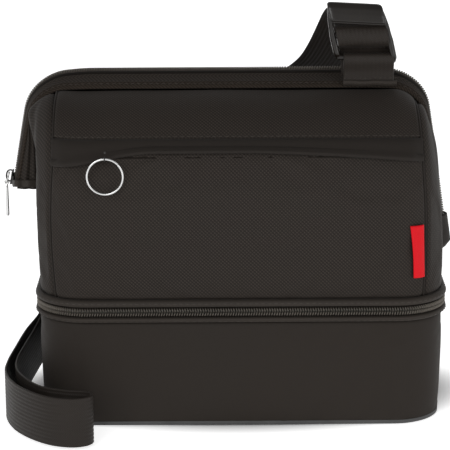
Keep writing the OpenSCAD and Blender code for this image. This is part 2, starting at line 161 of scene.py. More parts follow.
# %% Node helpers
class Finish:
    """A material under construction, with short calls for the nodes that it needs."""

    def __init__(self, name):
        self.material = bpy.data.materials.new(name)
        self.material.use_nodes = True
        self.tree = self.material.node_tree
        self.shader = self.tree.nodes["Principled BSDF"]
        self.uv = self.tree.nodes.new("ShaderNodeUVMap")
        self.uv.uv_map = "weave"
        self.place = self.tree.nodes.new("ShaderNodeTexCoord")

    def link(self, source, target):
        self.tree.links.new(source, target)

    def math(self, operation, a, b=0.0):
        node = self.tree.nodes.new("ShaderNodeMath")
        node.operation = operation
        for socket, value in zip(node.inputs, (a, b)):
            if isinstance(value, (int, float)):
                socket.default_value = value
            else:
                self.link(value, socket)
        return node.outputs[0]

    def axes(self):
        """The UV map's two directions, in metres."""
        split = self.tree.nodes.new("ShaderNodeSeparateXYZ")
        self.link(self.uv.outputs[0], split.inputs[0])
        return split.outputs[0], split.outputs[1]

    def wave(self, value, pitch):
        """A smooth ripple from 0 to 1 that repeats every pitch metres."""
        turn = self.math("SINE", self.math("MULTIPLY", value, 2 * math.pi / pitch))
        return self.math("ADD", self.math("MULTIPLY", turn, 0.5), 0.5)

    def noise(self, scale, detail=3.0):
        node = self.tree.nodes.new("ShaderNodeTexNoise")
        node.inputs["Scale"].default_value = scale
        node.inputs["Detail"].default_value = detail
        self.link(self.place.outputs["Object"], node.inputs["Vector"])
        return node.outputs[0]

    def colour(self, factor, dark, light):
        ramp = self.tree.nodes.new("ShaderNodeMix")
        ramp.data_type = "RGBA"
        self.link(factor, ramp.inputs[0])
        ramp.inputs[6].default_value = (*dark, 1)
        ramp.inputs[7].default_value = (*light, 1)
        self.link(ramp.outputs[2], self.shader.inputs["Base Color"])

    def rough(self, factor, low, high):
        node = self.tree.nodes.new("ShaderNodeMapRange")
        self.link(factor, node.inputs[0])
        node.inputs[3].default_value, node.inputs[4].default_value = low, high
        self.link(node.outputs[0], self.shader.inputs["Roughness"])

    def bump(self, height, distance, strength=0.6):
        node = self.tree.nodes.new("ShaderNodeBump")
        node.inputs["Distance"].default_value = distance
        node.inputs["Strength"].default_value = strength
        self.link(height, node.inputs["Height"])
        self.link(node.outputs[0], self.shader.inputs["Normal"])

    def set(self, **values):
        for name, value in values.items():
            self.shader.inputs[name.replace("_", " ")].default_value = value
        return self.material


# %% [markdown]
# ### Ballistic nylon
# A twill: two sets of yarn cross, and the floats step sideways row by row into fine diagonals. Two
# ripples across each other give the diamonds, one of them stronger, and a slow noise fades the dye.


# %% Nylon
def twill(name, dark, light, pitch=0.0025, lift=0.0002, sheen=0.02):
    f = Finish(name)
    u, v = f.axes()
    rise = f.wave(f.math("ADD", u, v), pitch)
    fall = f.wave(f.math("SUBTRACT", u, v), pitch)
    weave = f.math("ADD", f.math("MULTIPLY", rise, 0.2), f.math("MULTIPLY", f.math("MULTIPLY", rise, fall), 0.8))
    mottle = f.noise(9, 4)
    fuzz = f.noise(900, 2)
    # the weave's height also sets the colour: painted shade, darker in the valleys between the yarns and lighter on the
    # floats, plus a slow random change in the dye
    tone = f.math("ADD", f.math("MULTIPLY", weave, 0.75), f.math("MULTIPLY", mottle, 0.25))
    f.colour(tone, dark, light)
    f.rough(mottle, 0.62, 0.82)
    f.bump(f.math("ADD", weave, f.math("MULTIPLY", fuzz, 0.5)), lift)
    return f.set(Sheen_Weight=sheen, Sheen_Roughness=0.45, Specular_IOR_Level=0.16)


nylon = twill("nylon", (0.0050, 0.0036, 0.0026), (0.0340, 0.0266, 0.0214))
nylon_fine = twill("nylon_fine", (0.0060, 0.0045, 0.0032), (0.0300, 0.0232, 0.0184), 0.0009, 0.00008)
nylon_edge = twill("nylon_edge", (0.0060, 0.0045, 0.0034), (0.0230, 0.0180, 0.0145), 0.0009, 0.0001)
nylon_inside = twill("nylon_inside", (0.004, 0.003, 0.0025), (0.012, 0.010, 0.008), 0.0011)


# %% [markdown]
# ### Webbing, tape and thread
# Webbing's long ribs are modelled, so its finish only adds the short slanted picks between them. Zip
# tape is a fine plain weave. Thread is a twisted yarn with a slight gloss.


# %% Narrow cloths
def picks(name, dark, light, pitch, rough=(0.5, 0.7), lift=0.00014, specular=0.14):
    """Short slanted picks in a herringbone, for webbing and tapes."""
    f = Finish(name)
    u, v = f.axes()
    zig = f.math("PINGPONG", v, pitch * 1.6)
    slant = f.wave(f.math("ADD", u, zig), pitch)
    grain = f.noise(600, 2)
    f.colour(f.math("ADD", f.math("MULTIPLY", slant, 0.6), f.math("MULTIPLY", f.noise(14), 0.4)), dark, light)
    f.rough(grain, *rough)
    f.bump(f.math("ADD", slant, f.math("MULTIPLY", grain, 0.3)), lift)
    return f.set(Sheen_Weight=0.02, Sheen_Roughness=0.4, Specular_IOR_Level=specular)


webbing = picks("webbing", (0.006, 0.0046, 0.0036), (0.024, 0.0190, 0.0155), 0.0016, (0.42, 0.6))
band_tape = picks("band_tape", (0.0060, 0.0044, 0.0032), (0.0350, 0.0275, 0.0220), 0.0026, (0.75, 0.9), 0.0003, 0.04)
zip_tape = picks("zip_tape", (0.0035, 0.0028, 0.0022), (0.014, 0.0112, 0.009), 0.0009, (0.7, 0.85), 0.0001, 0.05)
# the coil is coloured much lighter than its black tape: a painted highlight on the teeth
coil = picks("coil", (0.060, 0.052, 0.043), (0.125, 0.110, 0.092), 0.0006, (0.28, 0.42), 0.00004, 0.3)
thread = picks("thread", (0.022, 0.018, 0.015), (0.050, 0.043, 0.036), 0.0006, (0.45, 0.6), 0.00005)


# %% [markdown]
# ### Hard finishes
# The ring and the pull are bright nickel with hair-fine scratches. The sliders are lacquered zinc, and
# the buckle is acetal, which is smooth but never quite flat.


# %% Metals and plastics
def hard(name, dark, light, rough, metallic, grain=400.0, lift=0.00002, specular=0.5):
    f = Finish(name)
    wear = f.noise(grain, 4)
    f.colour(f.noise(60, 3), dark, light)
    f.rough(wear, *rough)
    f.bump(wear, lift, 0.3)
    return f.set(Metallic=metallic, Specular_IOR_Level=specular)


nickel = hard("nickel", (0.42, 0.42, 0.42), (0.62, 0.62, 0.61), (0.12, 0.26), 1.0)
lacquer = hard("lacquer", (0.02, 0.019, 0.018), (0.05, 0.048, 0.045), (0.22, 0.4), 0.6)
acetal = hard("acetal", (0.005, 0.0038, 0.003), (0.011, 0.0088, 0.007), (0.18, 0.28), 0.0, 300.0, 0.000004, 0.3)
pull_rubber = hard("pull_rubber", (0.014, 0.014, 0.014), (0.03, 0.03, 0.03), (0.5, 0.7), 0.0, 700.0)
board = hard("board", (0.02, 0.02, 0.02), (0.05, 0.05, 0.05), (0.6, 0.8), 0.0, 500.0, 0.0001)
foam = hard("foam", (0.62, 0.62, 0.60), (0.80, 0.80, 0.78), (0.8, 0.95), 0.0, 1500.0, 0.0003, 0.2)
floor_finish = hard("floor_finish", (0.86, 0.86, 0.86), (0.90, 0.90, 0.90), (0.6, 0.7), 0.0, 3.0, 0.0)



def light_table():
    """The sweep is lit from below, except under and close to the bag."""
    tree = floor_finish.node_tree
    shader = tree.nodes["Principled BSDF"]
    place, squash, length, fade = (tree.nodes.new("ShaderNode" + kind) for kind in ("TexCoord", "VectorMath", "VectorMath", "MapRange"))
    squash.operation, length.operation = "MULTIPLY", "LENGTH"
    squash.inputs[1].default_value = (0.55, 1, 1)
    tree.links.new(place.outputs["Object"], squash.inputs[0])
    tree.links.new(squash.outputs[0], length.inputs[0])
    tree.links.new(length.outputs["Value"], fade.inputs[0])
    fade.inputs[1].default_value, fade.inputs[2].default_value = 0.078, 0.096
    fade.inputs[3].default_value, fade.inputs[4].default_value = 0.0, 0.7
    shader.inputs["Emission Color"].default_value = (1, 1, 1, 1)
    tree.links.new(fade.outputs[0], shader.inputs["Emission Strength"])


light_table()
floor.data.materials.append(floor_finish)


# %% Label and liner
def woven_label():
    """Red damask: glossy floats over a finer ground."""
    f = Finish("label_red")
    u, v = f.axes()
    rows = f.wave(v, 0.0005)
    ends = f.wave(u, 0.0007)
    f.colour(f.math("MULTIPLY", rows, ends), (0.42, 0.002, 0.006), (0.70, 0.005, 0.013))
    f.rough(f.noise(300), 0.4, 0.6)
    f.bump(f.math("ADD", rows, ends), 0.0001)
    return f.set(Specular_IOR_Level=0.12)


def foil_liner():
    """Wipe-clean foil film with soft crinkles."""
    f = Finish("liner_foil")
    crinkle = f.noise(70, 6)
    f.colour(crinkle, (0.45, 0.46, 0.48), (0.70, 0.71, 0.73))
    f.rough(f.noise(200), 0.25, 0.45)
    f.bump(crinkle, 0.0015, 0.7)
    return f.set(Metallic=0.7)


label_red, liner_foil = woven_label(), foil_liner()
print(len(bpy.data.materials), "finishes")

# %% [markdown]
# ## Tools for cloth
# A sewn panel is a grid of points, and everything rolled, bound or woven narrow is one outline swept
# along a path. Both keep a UV map in metres for their weave.


# %% Paths
def resample(points, count):
    """The path's points again, evenly spaced. Columns after the third go along."""
    points = np.asarray(points, float)
    run = np.r_[0, np.cumsum(np.linalg.norm(np.diff(points[:, :3], axis=0), axis=1))]
    at = np.linspace(0, run[-1], count)
    return np.stack([np.interp(at, run, points[:, k]) for k in range(points.shape[1])], 1)


def curve_through(points, count):
    """A smooth curve through given points."""
    p = np.asarray(points, float)
    padded = np.vstack([2 * p[0] - p[1], p, 2 * p[-1] - p[-2]])
    t = np.linspace(0, 1, 24, endpoint=False)[:, None]
    parts = []
    for a, b, c, d in zip(padded, padded[1:], padded[2:], padded[3:]):
        parts.append(0.5 * (2 * b + (c - a) * t + (2 * a - 5 * b + 4 * c - d) * t**2
                            + (3 * b - a - 3 * c + d) * t**3))
    return resample(np.vstack([*parts, p[-1:]]), count)


def unit(v):
    return v / np.maximum(np.linalg.norm(v, axis=-1, keepdims=True), 1e-9)


def steps(count, crowd=0.0):
    """Numbers from 0 to 1 that crowd towards both ends, where a panel is turned in."""
    t = np.linspace(0, 1, count)
    return t - crowd * np.sin(2 * math.pi * t) / (2 * math.pi)


# %% Meshes
def grid_mesh(name, points, material, loop_u=False, loop_v=False, caps=False):
    """A piece from rows of points (u, v, xyz) in millimetres."""
    nu, nv = points.shape[:2]
    i, j = np.meshgrid(np.arange(nu if loop_u else nu - 1), np.arange(nv if loop_v else nv - 1), indexing="ij")
    i, j = i.ravel(), j.ravel()
    corners = [(i, j), (i + 1, j), (i + 1, j + 1), (i, j + 1)]
    faces = np.stack([(a % nu) * nv + b % nv for a, b in corners], 1).tolist()
    wrap_u = np.concatenate([points, points[:1]]) if loop_u else points
    wrap_v = np.concatenate([points, points[:, :1]], 1) if loop_v else points
    run_u = np.r_[0, np.cumsum(np.linalg.norm(np.diff(wrap_u, axis=0), axis=2).mean(1))] * MM
    run_v = np.r_[0, np.cumsum(np.linalg.norm(np.diff(wrap_v, axis=1), axis=2).mean(0))] * MM
    uv = np.stack([np.stack([run_u[a], run_v[b]], 1) for a, b in corners], 1).reshape(-1, 2)
    if caps:
        faces += [list(range(nv))[::-1], list(range((nu - 1) * nv, nu * nv))]
        uv = np.vstack([uv, np.zeros((2 * nv, 2))])
    mesh = bpy.data.meshes.new(name)
    mesh.from_pydata((points.reshape(-1, 3) * MM).tolist(), [], faces)
    mesh.uv_layers.new(name="weave").data.foreach_set("uv", uv.astype(np.float32).ravel())
    mesh.polygons.foreach_set("use_smooth", [True] * len(faces))
    mesh.materials.append(material)
    mesh.update()
    piece = bpy.data.objects.new(name, mesh)
    bpy.context.scene.collection.objects.link(piece)
    if caps or (loop_u and loop_v):
        turn_outwards(piece)
    return piece


def turn_outwards(piece):
    """Points a closed shell's faces outwards."""
    shell = bmesh.new()
    shell.from_mesh(piece.data)
    bmesh.ops.recalc_face_normals(shell, faces=shell.faces)
    shell.to_mesh(piece.data)
    shell.free()


def sweep(name, path, side, out, section, material, loop=False):
    """A piece whose outline (side, out) in millimetres follows a path. The scale of the outline may change."""
    section = np.asarray(section, float)
    if section.ndim == 2:
        section = np.broadcast_to(section, (len(path), *section.shape))
    points = path[:, None] + section[..., :1] * side[:, None] + section[..., 1:] * out[:, None]
    return grid_mesh(name, points, material, loop_u=loop, loop_v=True, caps=not loop)


def oval(width, height, count=12, power=1.0):
    """An oval outline, or with a power below 1 a rounder-cornered box."""
    a = np.linspace(0, 2 * math.pi, count, endpoint=False)
    c, s = np.cos(a), np.sin(a)
    return np.stack([np.sign(c) * np.abs(c) ** power * width / 2, np.sign(s) * np.abs(s) ** power * height / 2], 1)


def thicken(piece, thickness):
    """Gives a sheet its thickness, inwards."""
    solid = piece.modifiers.new("thickness", "SOLIDIFY")
    solid.thickness = thickness * MM
    solid.offset = -1
    return piece


# %% [markdown]
# Sewn cloth is never flat: it is held along its seams and belongs to the air in between. Each padded
# panel is pinned along its edges, blown out very gently in a cloth simulation, and kept within a few
# millimetres of its pattern.


# %% Cloth simulation
def settle(piece, pinned, pressure, slack, cap, frames=18):
    """Lets a pinned sheet bulge and crease. `pinned` holds the weight of each vertex."""
    mesh = piece.data
    rest = np.array([v.co for v in mesh.vertices])
    group = piece.vertex_groups.new(name="pinned")
    for index, weight in enumerate(pinned):
        group.add([index], float(weight), "REPLACE")
    cloth = piece.modifiers.new("cloth", "CLOTH")
    cloth.settings.quality = 6
    cloth.settings.mass = 0.25
    cloth.settings.tension_stiffness = cloth.settings.compression_stiffness = 12
    cloth.settings.bending_stiffness = 1.5
    cloth.settings.vertex_group_mass = group.name
    cloth.settings.use_pressure = True
    cloth.settings.uniform_pressure_force = pressure
    cloth.settings.shrink_min = -slack
    cloth.settings.effector_weights.gravity = 0
    cloth.collision_settings.use_collision = False
    cloth.point_cache.frame_start, cloth.point_cache.frame_end = 1, frames
    for f in range(1, frames + 1):
        bpy.context.scene.frame_set(f)
    made = piece.evaluated_get(bpy.context.evaluated_depsgraph_get()).data
    move = np.array([v.co for v in made.vertices]) - rest
    size = np.linalg.norm(move, axis=1, keepdims=True)
    limit = cap * MM
    move *= np.where(size > 1e-9, limit * np.tanh(size / limit) / np.maximum(size, 1e-9), 0)
    piece.modifiers.remove(cloth)
    piece.vertex_groups.clear()
    mesh.vertices.foreach_set("co", (rest + move).astype(np.float32).ravel())
    mesh.update()
    bpy.context.scene.frame_set(1)
    print(f"{piece.name}: settled by up to {1000 * size.max():.1f} mm")


def edge_pins(nu, nv, margin=1, loop_u=False):
    """Pin weights for a grid that is sewn down along its edges."""
    pins = np.zeros((nu, nv))
    pins[:, :margin + 1] = pins[:, -margin - 1:] = 1
    if not loop_u:
        pins[:margin + 1] = pins[-margin - 1:] = 1
    return pins.ravel()


# %% [markdown]
# ## Repeats along a seam
# Zip teeth and stitches are the same idea: one small bead, set at an even pitch along a line, with its
# length along or across that line. A Geometry Nodes tree does it for both, with the pitch and the
# bead's size as inputs. The guide line carries an "out" direction, so each bead lies on the cloth.


# %% The bead tree
def bead_tree():
    tree = bpy.data.node_groups.new("beads_along_line", "GeometryNodeTree")
    face = tree.interface
    face.new_socket("Line", in_out="INPUT", socket_type="NodeSocketGeometry")
    for name in ("Pitch", "Along", "Across", "Height", "Slant"):
        face.new_socket(name, in_out="INPUT", socket_type="NodeSocketFloat")
    face.new_socket("Finish", in_out="INPUT", socket_type="NodeSocketMaterial")
    face.new_socket("Beads", in_out="OUTPUT", socket_type="NodeSocketGeometry")
    node, link = tree.nodes.new, tree.links.new
    inputs, outputs = node("NodeGroupInput"), node("NodeGroupOutput")
    curve = node("GeometryNodeMeshToCurve")
    link(inputs.outputs["Line"], curve.inputs[0])
    even = node("GeometryNodeResampleCurve")
    even.mode = "LENGTH"
    link(curve.outputs[0], even.inputs["Curve"])
    link(inputs.outputs["Pitch"], even.inputs["Length"])
    outward = node("GeometryNodeInputNamedAttribute")
    outward.data_type = "FLOAT_VECTOR"
    outward.inputs["Name"].default_value = "out"
    along = node("FunctionNodeAlignRotationToVector")
    along.axis = "X"
    link(node("GeometryNodeInputTangent").outputs[0], along.inputs["Vector"])
    upright = node("FunctionNodeAlignRotationToVector")
    upright.axis, upright.pivot_axis = "Z", "X"
    link(along.outputs[0], upright.inputs["Rotation"])
    link(outward.outputs[0], upright.inputs["Vector"])
    slant = node("FunctionNodeAxisAngleToRotation")
    slant.inputs["Axis"].default_value = (0, 0, 1)
    link(inputs.outputs["Slant"], slant.inputs["Angle"])
    turn = node("FunctionNodeRotateRotation")
    turn.rotation_space = "LOCAL"
    link(upright.outputs[0], turn.inputs[0])
    link(slant.outputs[0], turn.inputs[1])
    bead = node("GeometryNodeMeshUVSphere")
    bead.inputs["Segments"].default_value = 8
    bead.inputs["Rings"].default_value = 5
    bead.inputs["Radius"].default_value = 0.5
    size = node("ShaderNodeCombineXYZ")
    for axis, name in enumerate(("Along", "Across", "Height")):
        link(inputs.outputs[name], size.inputs[axis])
    place = node("GeometryNodeInstanceOnPoints")
    link(even.outputs[0], place.inputs["Points"])
    link(bead.outputs["Mesh"], place.inputs["Instance"])
    link(turn.outputs[0], place.inputs["Rotation"])
    link(size.outputs[0], place.inputs["Scale"])
    smooth = node("GeometryNodeSetShadeSmooth")
    real = node("GeometryNodeRealizeInstances")
    paint = node("GeometryNodeSetMaterial")
    link(place.outputs[0], real.inputs[0])
    link(real.outputs[0], smooth.inputs[0])
    link(smooth.outputs[0], paint.inputs["Geometry"])
    link(inputs.outputs["Finish"], paint.inputs["Material"])
    link(paint.outputs[0], outputs.inputs[0])
    return tree


BEADS = bead_tree()


def socket_ids(tree):
    return {s.name: s.identifier for s in tree.interface.items_tree if s.in_out == "INPUT"}


def beads(name, lines, pitch, size, material, slant=0.0):
    """Beads along one or more lines. A line is (points, outward directions) in millimetres."""
    verts, outs, edges = [], [], []
    for points, out in lines:
        out = np.broadcast_to(np.asarray(out, float), np.shape(points))
        edges += [(len(verts) + k, len(verts) + k + 1) for k in range(len(points) - 1)]
        verts += (np.asarray(points) * MM).tolist()
        outs += out.tolist()
    mesh = bpy.data.meshes.new(name + "_line")
    mesh.from_pydata(verts, edges, [])
    mesh.attributes.new("out", "FLOAT_VECTOR", "POINT").data.foreach_set("vector", np.ravel(outs))
    guide = bpy.data.objects.new(name + "_line", mesh)
    bpy.context.scene.collection.objects.link(guide)
    modifier = guide.modifiers.new("beads", "NODES")
    modifier.node_group = BEADS
    ids = socket_ids(BEADS)
    along, across, height = size
    for key, value in (("Pitch", pitch * MM), ("Along", along * MM), ("Across", across * MM),
                       ("Height", height * MM), ("Slant", slant), ("Finish", material)):
        modifier[ids[key]] = value
    depsgraph = bpy.context.evaluated_depsgraph_get()
    made = bpy.data.meshes.new_from_object(guide.evaluated_get(depsgraph), depsgraph=depsgraph)
    bpy.data.objects.remove(guide)
    made.name = name
    if "weave" not in made.uv_layers:
        made.uv_layers.new(name="weave")
    piece = bpy.data.objects.new(name, made)
    bpy.context.scene.collection.objects.link(piece)
    print(f"{name}: {len(made.polygons)} faces")
    return piece


STITCH = (2.9, 0.6, 0.5)
STITCH_PITCH = 4.3


def stitches(name, lines, material=thread, size=STITCH, pitch=STITCH_PITCH):
    return beads(name, lines, pitch, size, material)


# %% [markdown]
# ## The plan
# Both compartments share one plan, a rectangle with round corners. Points run anticlockwise from the
# back left end of the zip, so that "along the panel" crossed with "up" always points outwards.


# %% Plan outline
def plan(count, out=0.0, reach=None):
    """Points and outward normals round the plan. With `reach`, the line is open and ends at x = +-reach at the back."""
    cx, cy, r = HALF_W - CORNER_R, HALF_D - CORNER_R, CORNER_R
    points, normals = [], []
    for x, y, start in ((-cx, cy, 90), (-cx, -cy, 180), (cx, -cy, 270), (cx, cy, 0)):
        a = np.radians(start + np.linspace(0, 90, 25))
        n = np.stack([np.cos(a), np.sin(a)], 1)
        points.append(np.array([x, y]) + r * n)
        normals.append(n)
    points, normals = np.vstack(points), np.vstack(normals)
    edge = 0.0 if reach is None else reach
    back = np.array([[0.0, 1.0]])
    points = np.vstack([[[-edge, HALF_D]], points, [[edge, HALF_D]]])
    normals = np.vstack([back, normals, back])
    full = resample(np.hstack([points, np.zeros((len(points), 1)), normals]), count + (reach is None))
    full = full[:count]
    n = unit(full[:, 3:5])
    zero = np.zeros((count, 1))
    return np.hstack([full[:, :2] + out * n, zero]), np.hstack([n, zero])


def raised(points, z):
    return points + np.array([0, 0, z])


UP = np.array([0.0, 0.0, 1.0])

# %% [markdown]
# ## Lower box
# The lower compartment is one strip of nylon round the plan, backed with foam, and turned in under a
# rolled hem at the top. Its foot curls under to meet the base panel.


# %% Lower walls
def lower_walls():
    foot = [(-7.0, 0.15), (-3.0, 0.2), (-1.3, 0.45), (-0.5, 1.0), (-0.1, 1.9), (0.0, 3.4)]
    wall = [(0.0, z) for z in np.linspace(6.0, WALL_TOP - 2.4, 30)]
    neck = [(-0.3, WALL_TOP - 1.0), (-1.1, WALL_TOP - 0.1), (-2.4, WALL_TOP + 0.6)]
    profile = foot + wall + neck
    count = 240
    rows = []
    for out, z in profile:
        points, normals = plan(count, out)
        taper = 1.6 * (1 - z / WALL_TOP)
        rows.append(raised(points - normals * taper, z))
    points = np.stack(rows, 1)
    piece = grid_mesh("lower_walls", points, nylon_fine, loop_u=True)
    pins = np.zeros((count, len(profile)))
    pins[:, :5] = pins[:, -5:] = 1
    outward = plan(count)[1]
    corner = np.abs(outward[:, 0] * outward[:, 1]) * 2
    pins = np.maximum(pins, 0.35 * corner[:, None])
    settle(piece, pins.ravel(), 1.2, 0.004, 2.2)
    thicken(piece, 1.2)
    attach(piece, "root")
    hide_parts("lower_shell")
    return piece


lower_walls()


# %% Base panel
def slab(name, out, z_low, z_high, material, count=160):
    """A flat panel with the plan's shape and a rounded edge."""
    edge, _ = plan(count, out)
    inner = edge * 0.35
    rim, _ = plan(count, out + (z_high - z_low) / 2)
    middle = (z_low + z_high) / 2
    rings = [raised(inner, z_low), raised(edge, z_low), raised(rim, middle), raised(edge, z_high),
             raised(inner, z_high)]
    return grid_mesh(name, np.stack(rings), material, loop_v=True, caps=True)


base = slab("base_panel", -6.6, 0.0, 1.1, nylon)
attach(base, "root")


# %% [markdown]
# ## Waist
# Each compartment ends in a hem bound with herringbone tape. The zip's tape is sewn under the hem, and
# its coil rows stand proud of it. A wide tab on the back stands in for the zip there and is the hinge.


# %% Hems
binding = picks("binding", (0.010, 0.0080, 0.0064), (0.034, 0.0275, 0.0225), 0.0013, (0.5, 0.68), 0.0001)


def hem(name, section, body, node):
    points, normals = plan(300)
    ups = np.broadcast_to(UP, points.shape)
    piece = sweep(name, points, normals, ups, section, binding, loop=True)
    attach(piece, body)
    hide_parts(node)


def rolled(low, high, sign):
    """A hem's outline: a soft roll outside and a flat turning inside. The crease against the wall is at `low`."""
    h = high - low
    outer = [(-0.6, 0.0), (0.9, 0.02), (2.0, 0.10), (2.8, 0.28), (3.2, 0.52), (3.1, 0.76), (2.5, 0.93), (1.5, 1.0)]
    inner = [(-6.6, 1.0), (-7.2, 0.85), (-6.8, 0.65), (-1.6, 0.6), (-1.3, 0.1)]
    z0 = low if sign > 0 else high
    return [(o, z0 + sign * h * f) for o, f in outer + inner]


hem("lower_hem", rolled(WALL_TOP + 0.4, LOWER_ROLL, 1), "root", "lower_binding")
hem("upper_hem", rolled(UPPER_ROLL, WALL_Z + 0.3, -1), "upper", "upper_binding")


# %% Waist zip
ZIP_REACH = 103.5
COIL_OUT, TOOTH = 1.5, (0.85, 3.3, 2.2)
TOOTH_PITCH = 1.75


def waist_tape(name, low, high, body, node):
    points, normals = plan(300, reach=ZIP_REACH)
    section = [(-0.6, low), (0.45, low), (0.5, (low + high) / 2), (0.45, high), (-0.6, high)]
    piece = sweep(name, points, normals, np.broadcast_to(UP, points.shape), section, zip_tape)
    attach(piece, body)
    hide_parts(node)


def waist_teeth(name, z, shift, body, slant):
    points, normals = plan(900, COIL_OUT, reach=ZIP_REACH)
    points = raised(points, z)[shift:]
    piece = beads(name, [(points, normals[shift:])], TOOTH_PITCH, TOOTH, coil, slant)
    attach(piece, body)


waist_tape("waist_tape_lower", LOWER_ROLL - 0.8, WAIST_Z - 1.0, "root", "lower_zip_row")
waist_tape("waist_tape_upper", WAIST_Z + 1.0, UPPER_ROLL + 0.8, "upper", "upper_zip_row")
waist_teeth("waist_teeth_lower", WAIST_Z - 1.35, 0, "root", -0.3)
waist_teeth("waist_teeth_upper", WAIST_Z + 1.35, 1, "upper", 0.3)


# %% Hinge strip and hem stitches
def hinge_tab():
    low, high = node_box("hinge_strip")
    z = np.linspace(low[2] - 0.6, high[2] + 0.6, 12)
    x = np.linspace(high[0], low[0], 60)
    bow = 0.5 * np.sin(np.linspace(0, math.pi, 12))
    points = np.stack([np.broadcast_to(x[:, None], (60, 12)),
                       np.broadcast_to(high[1] + bow, (60, 12)), np.broadcast_to(z, (60, 12))], 2)
    piece = thicken(grid_mesh("hinge_tab", points, nylon_edge), 1.1)
    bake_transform(piece)
    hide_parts("hinge_strip")


hinge_tab()
HEM_OUT = 3.15
for name, z, body in (("hem_stitches_lower", LOWER_ROLL - 2.4, "root"), ("hem_stitches_upper", UPPER_ROLL + 2.6, "upper")):
    line, outward = plan(500, HEM_OUT)
    row = stitches(name, [(raised(np.vstack([line, line[:1]]), z), np.vstack([outward, outward[:1]]))])
    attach(row, body)

# %% [markdown]
# ## Upper panels
# The front and back share one side view: an upright wall that bends over into a quarter of an ellipse
# and ends at the zip band. A panel is a stretch of that view between two side seams. Its edges are
# turned in a little, so that a seam reads as a groove.


# %% Front surface
def arch_height(x, inset):
    """Height of the mouth's arch above x, `inset` under the crest."""
    x = np.asarray(x, float)
    z = np.full(x.shape, CREST_Z - inset)
    for (cx, cz, r, _), side in ((LEFT_ARC, -1), (RIGHT_ARC, 1)):
        d = np.maximum(side * (x - cx), 0)
        z = np.where(d > 0, cz + np.sqrt(np.maximum((r - inset) ** 2 - d**2, 4)), z)
    return z


def front(x, t, out=0.0):
    """A point of the front. t is an angle in degrees above the bend, and millimetres below it."""
    x, t = np.broadcast_arrays(np.asarray(x, float), np.asarray(t, float))
    beyond = np.maximum(np.abs(x) - (HALF_W - CORNER_R), 0)
    depth = HALF_D - CORNER_R + np.sqrt(CORNER_R**2 - beyond**2)
    top = (arch_height(x, BAND_IN) - BEND_Z) / math.sin(math.radians(SLOPE_END_T))
    turn = np.radians(np.maximum(t, 0))
    # near the zip every column meets its own height, and at the wall they all share one
    share = np.clip(t / SLOPE_END_T, 0, 1) ** 2
    rise = LEAN_B * (1 - share) + top * share
    y = -(LEAN_Y + (depth - LEAN_Y + out) * np.cos(turn))
    z = BEND_Z + np.minimum(t, 0) + (rise + out) * np.sin(turn)
    return np.stack([x, y, z], -1)


def seam_x(t):
    """The two side seams' places at height t."""
    t = np.asarray(t, float)
    z = np.where(t > 0, BEND_Z + LEAN_B * np.sin(np.radians(np.maximum(t, 0))), BEND_Z + t)
    s = (z - WALL_Z) / (CREST_Z - BAND_IN - WALL_Z)
    left = SEAM_LEFT + 2.6 - 2.6 * np.sin(math.pi * np.clip(s / 0.72, 0, 1))
    fade = np.clip((s - 0.4) / 0.6, 0, 1)
    right = SEAM_RIGHT - 0.8 + 0.8 * np.sin(math.pi * np.clip(s / 0.6, 0, 1)) - 3.3 * fade**2 * (3 - 2 * fade)
    return left, right


def normals_of(points):
    du, dv = np.gradient(points, axis=0), np.gradient(points, axis=1)
    return unit(np.cross(du, dv))


def tuck(points, left=0.0, right=0.0, low=0.0, high=0.0, width=1.6):
    """Turns a grid's edges in by the given depths."""
    run_u = np.cumsum(np.linalg.norm(np.diff(points, axis=0, prepend=points[:1]), axis=2), axis=0)
    run_v = np.cumsum(np.linalg.norm(np.diff(points, axis=1, prepend=points[:, :1]), axis=2), axis=1)
    depth = sum(d * np.exp(-((run / width) ** 2)) for d, run in (
        (left, run_u), (right, run_u[-1:] - run_u), (low, run_v), (high, run_v[:, -1:] - run_v)))
    return points - normals_of(points) * depth[..., None]


def panel(t_low, t_high, nu, nv, out=0.0, crowd=0.75, gap=0.5):
    """A grid over the front between the side seams."""
    t = t_low + (t_high - t_low) * steps(nv, 0.6)
    left, right = seam_x(t)
    c = steps(nu, crowd)[:, None]
    return front(left + gap + (right - left - 2 * gap) * c, t[None, :], out)


def behind(points):
    """The same cloth on the back of the bag."""
    return (points * [1, -1, 1])[::-1]


FLOOR_T = WALL_Z - BEND_Z


def bend_with_mouth(piece):
    """Bakes the piece's placement into its mesh."""
    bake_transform(piece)


# %% Pocket, front wall and back wall
def pocket_front():
    points = tuck(panel(FLOOR_T - 0.6, 26.8, 110, 70), left=1.6, right=1.6, low=1.8)
    piece = grid_mesh("pocket_front", points, nylon)
    settle(piece, edge_pins(110, 70, 3), 0.6, 0.004, 1.3)
    thicken(piece, 1.2)
    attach(piece, "upper")
    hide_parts("pocket_panel")


def front_wall():
    points = panel(FLOOR_T, STITCH_T, 60, 50, out=-3.4)
    piece = thicken(grid_mesh("front_wall", points, nylon_fine), 1.0)
    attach(piece, "upper")
    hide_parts("front_panel")


def rear_wall():
    points = tuck(panel(FLOOR_T - 0.6, STITCH_T, 110, 80), left=1.6, right=1.6, low=1.8, high=0.9)
    piece = grid_mesh("rear_wall", behind(points), nylon)
    settle(piece, edge_pins(110, 80, 3), 1.0, 0.006, 2.4)
    thicken(piece, 1.2)
    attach(piece, "upper")
    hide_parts("rear_panel")


pocket_front()
front_wall()
rear_wall()


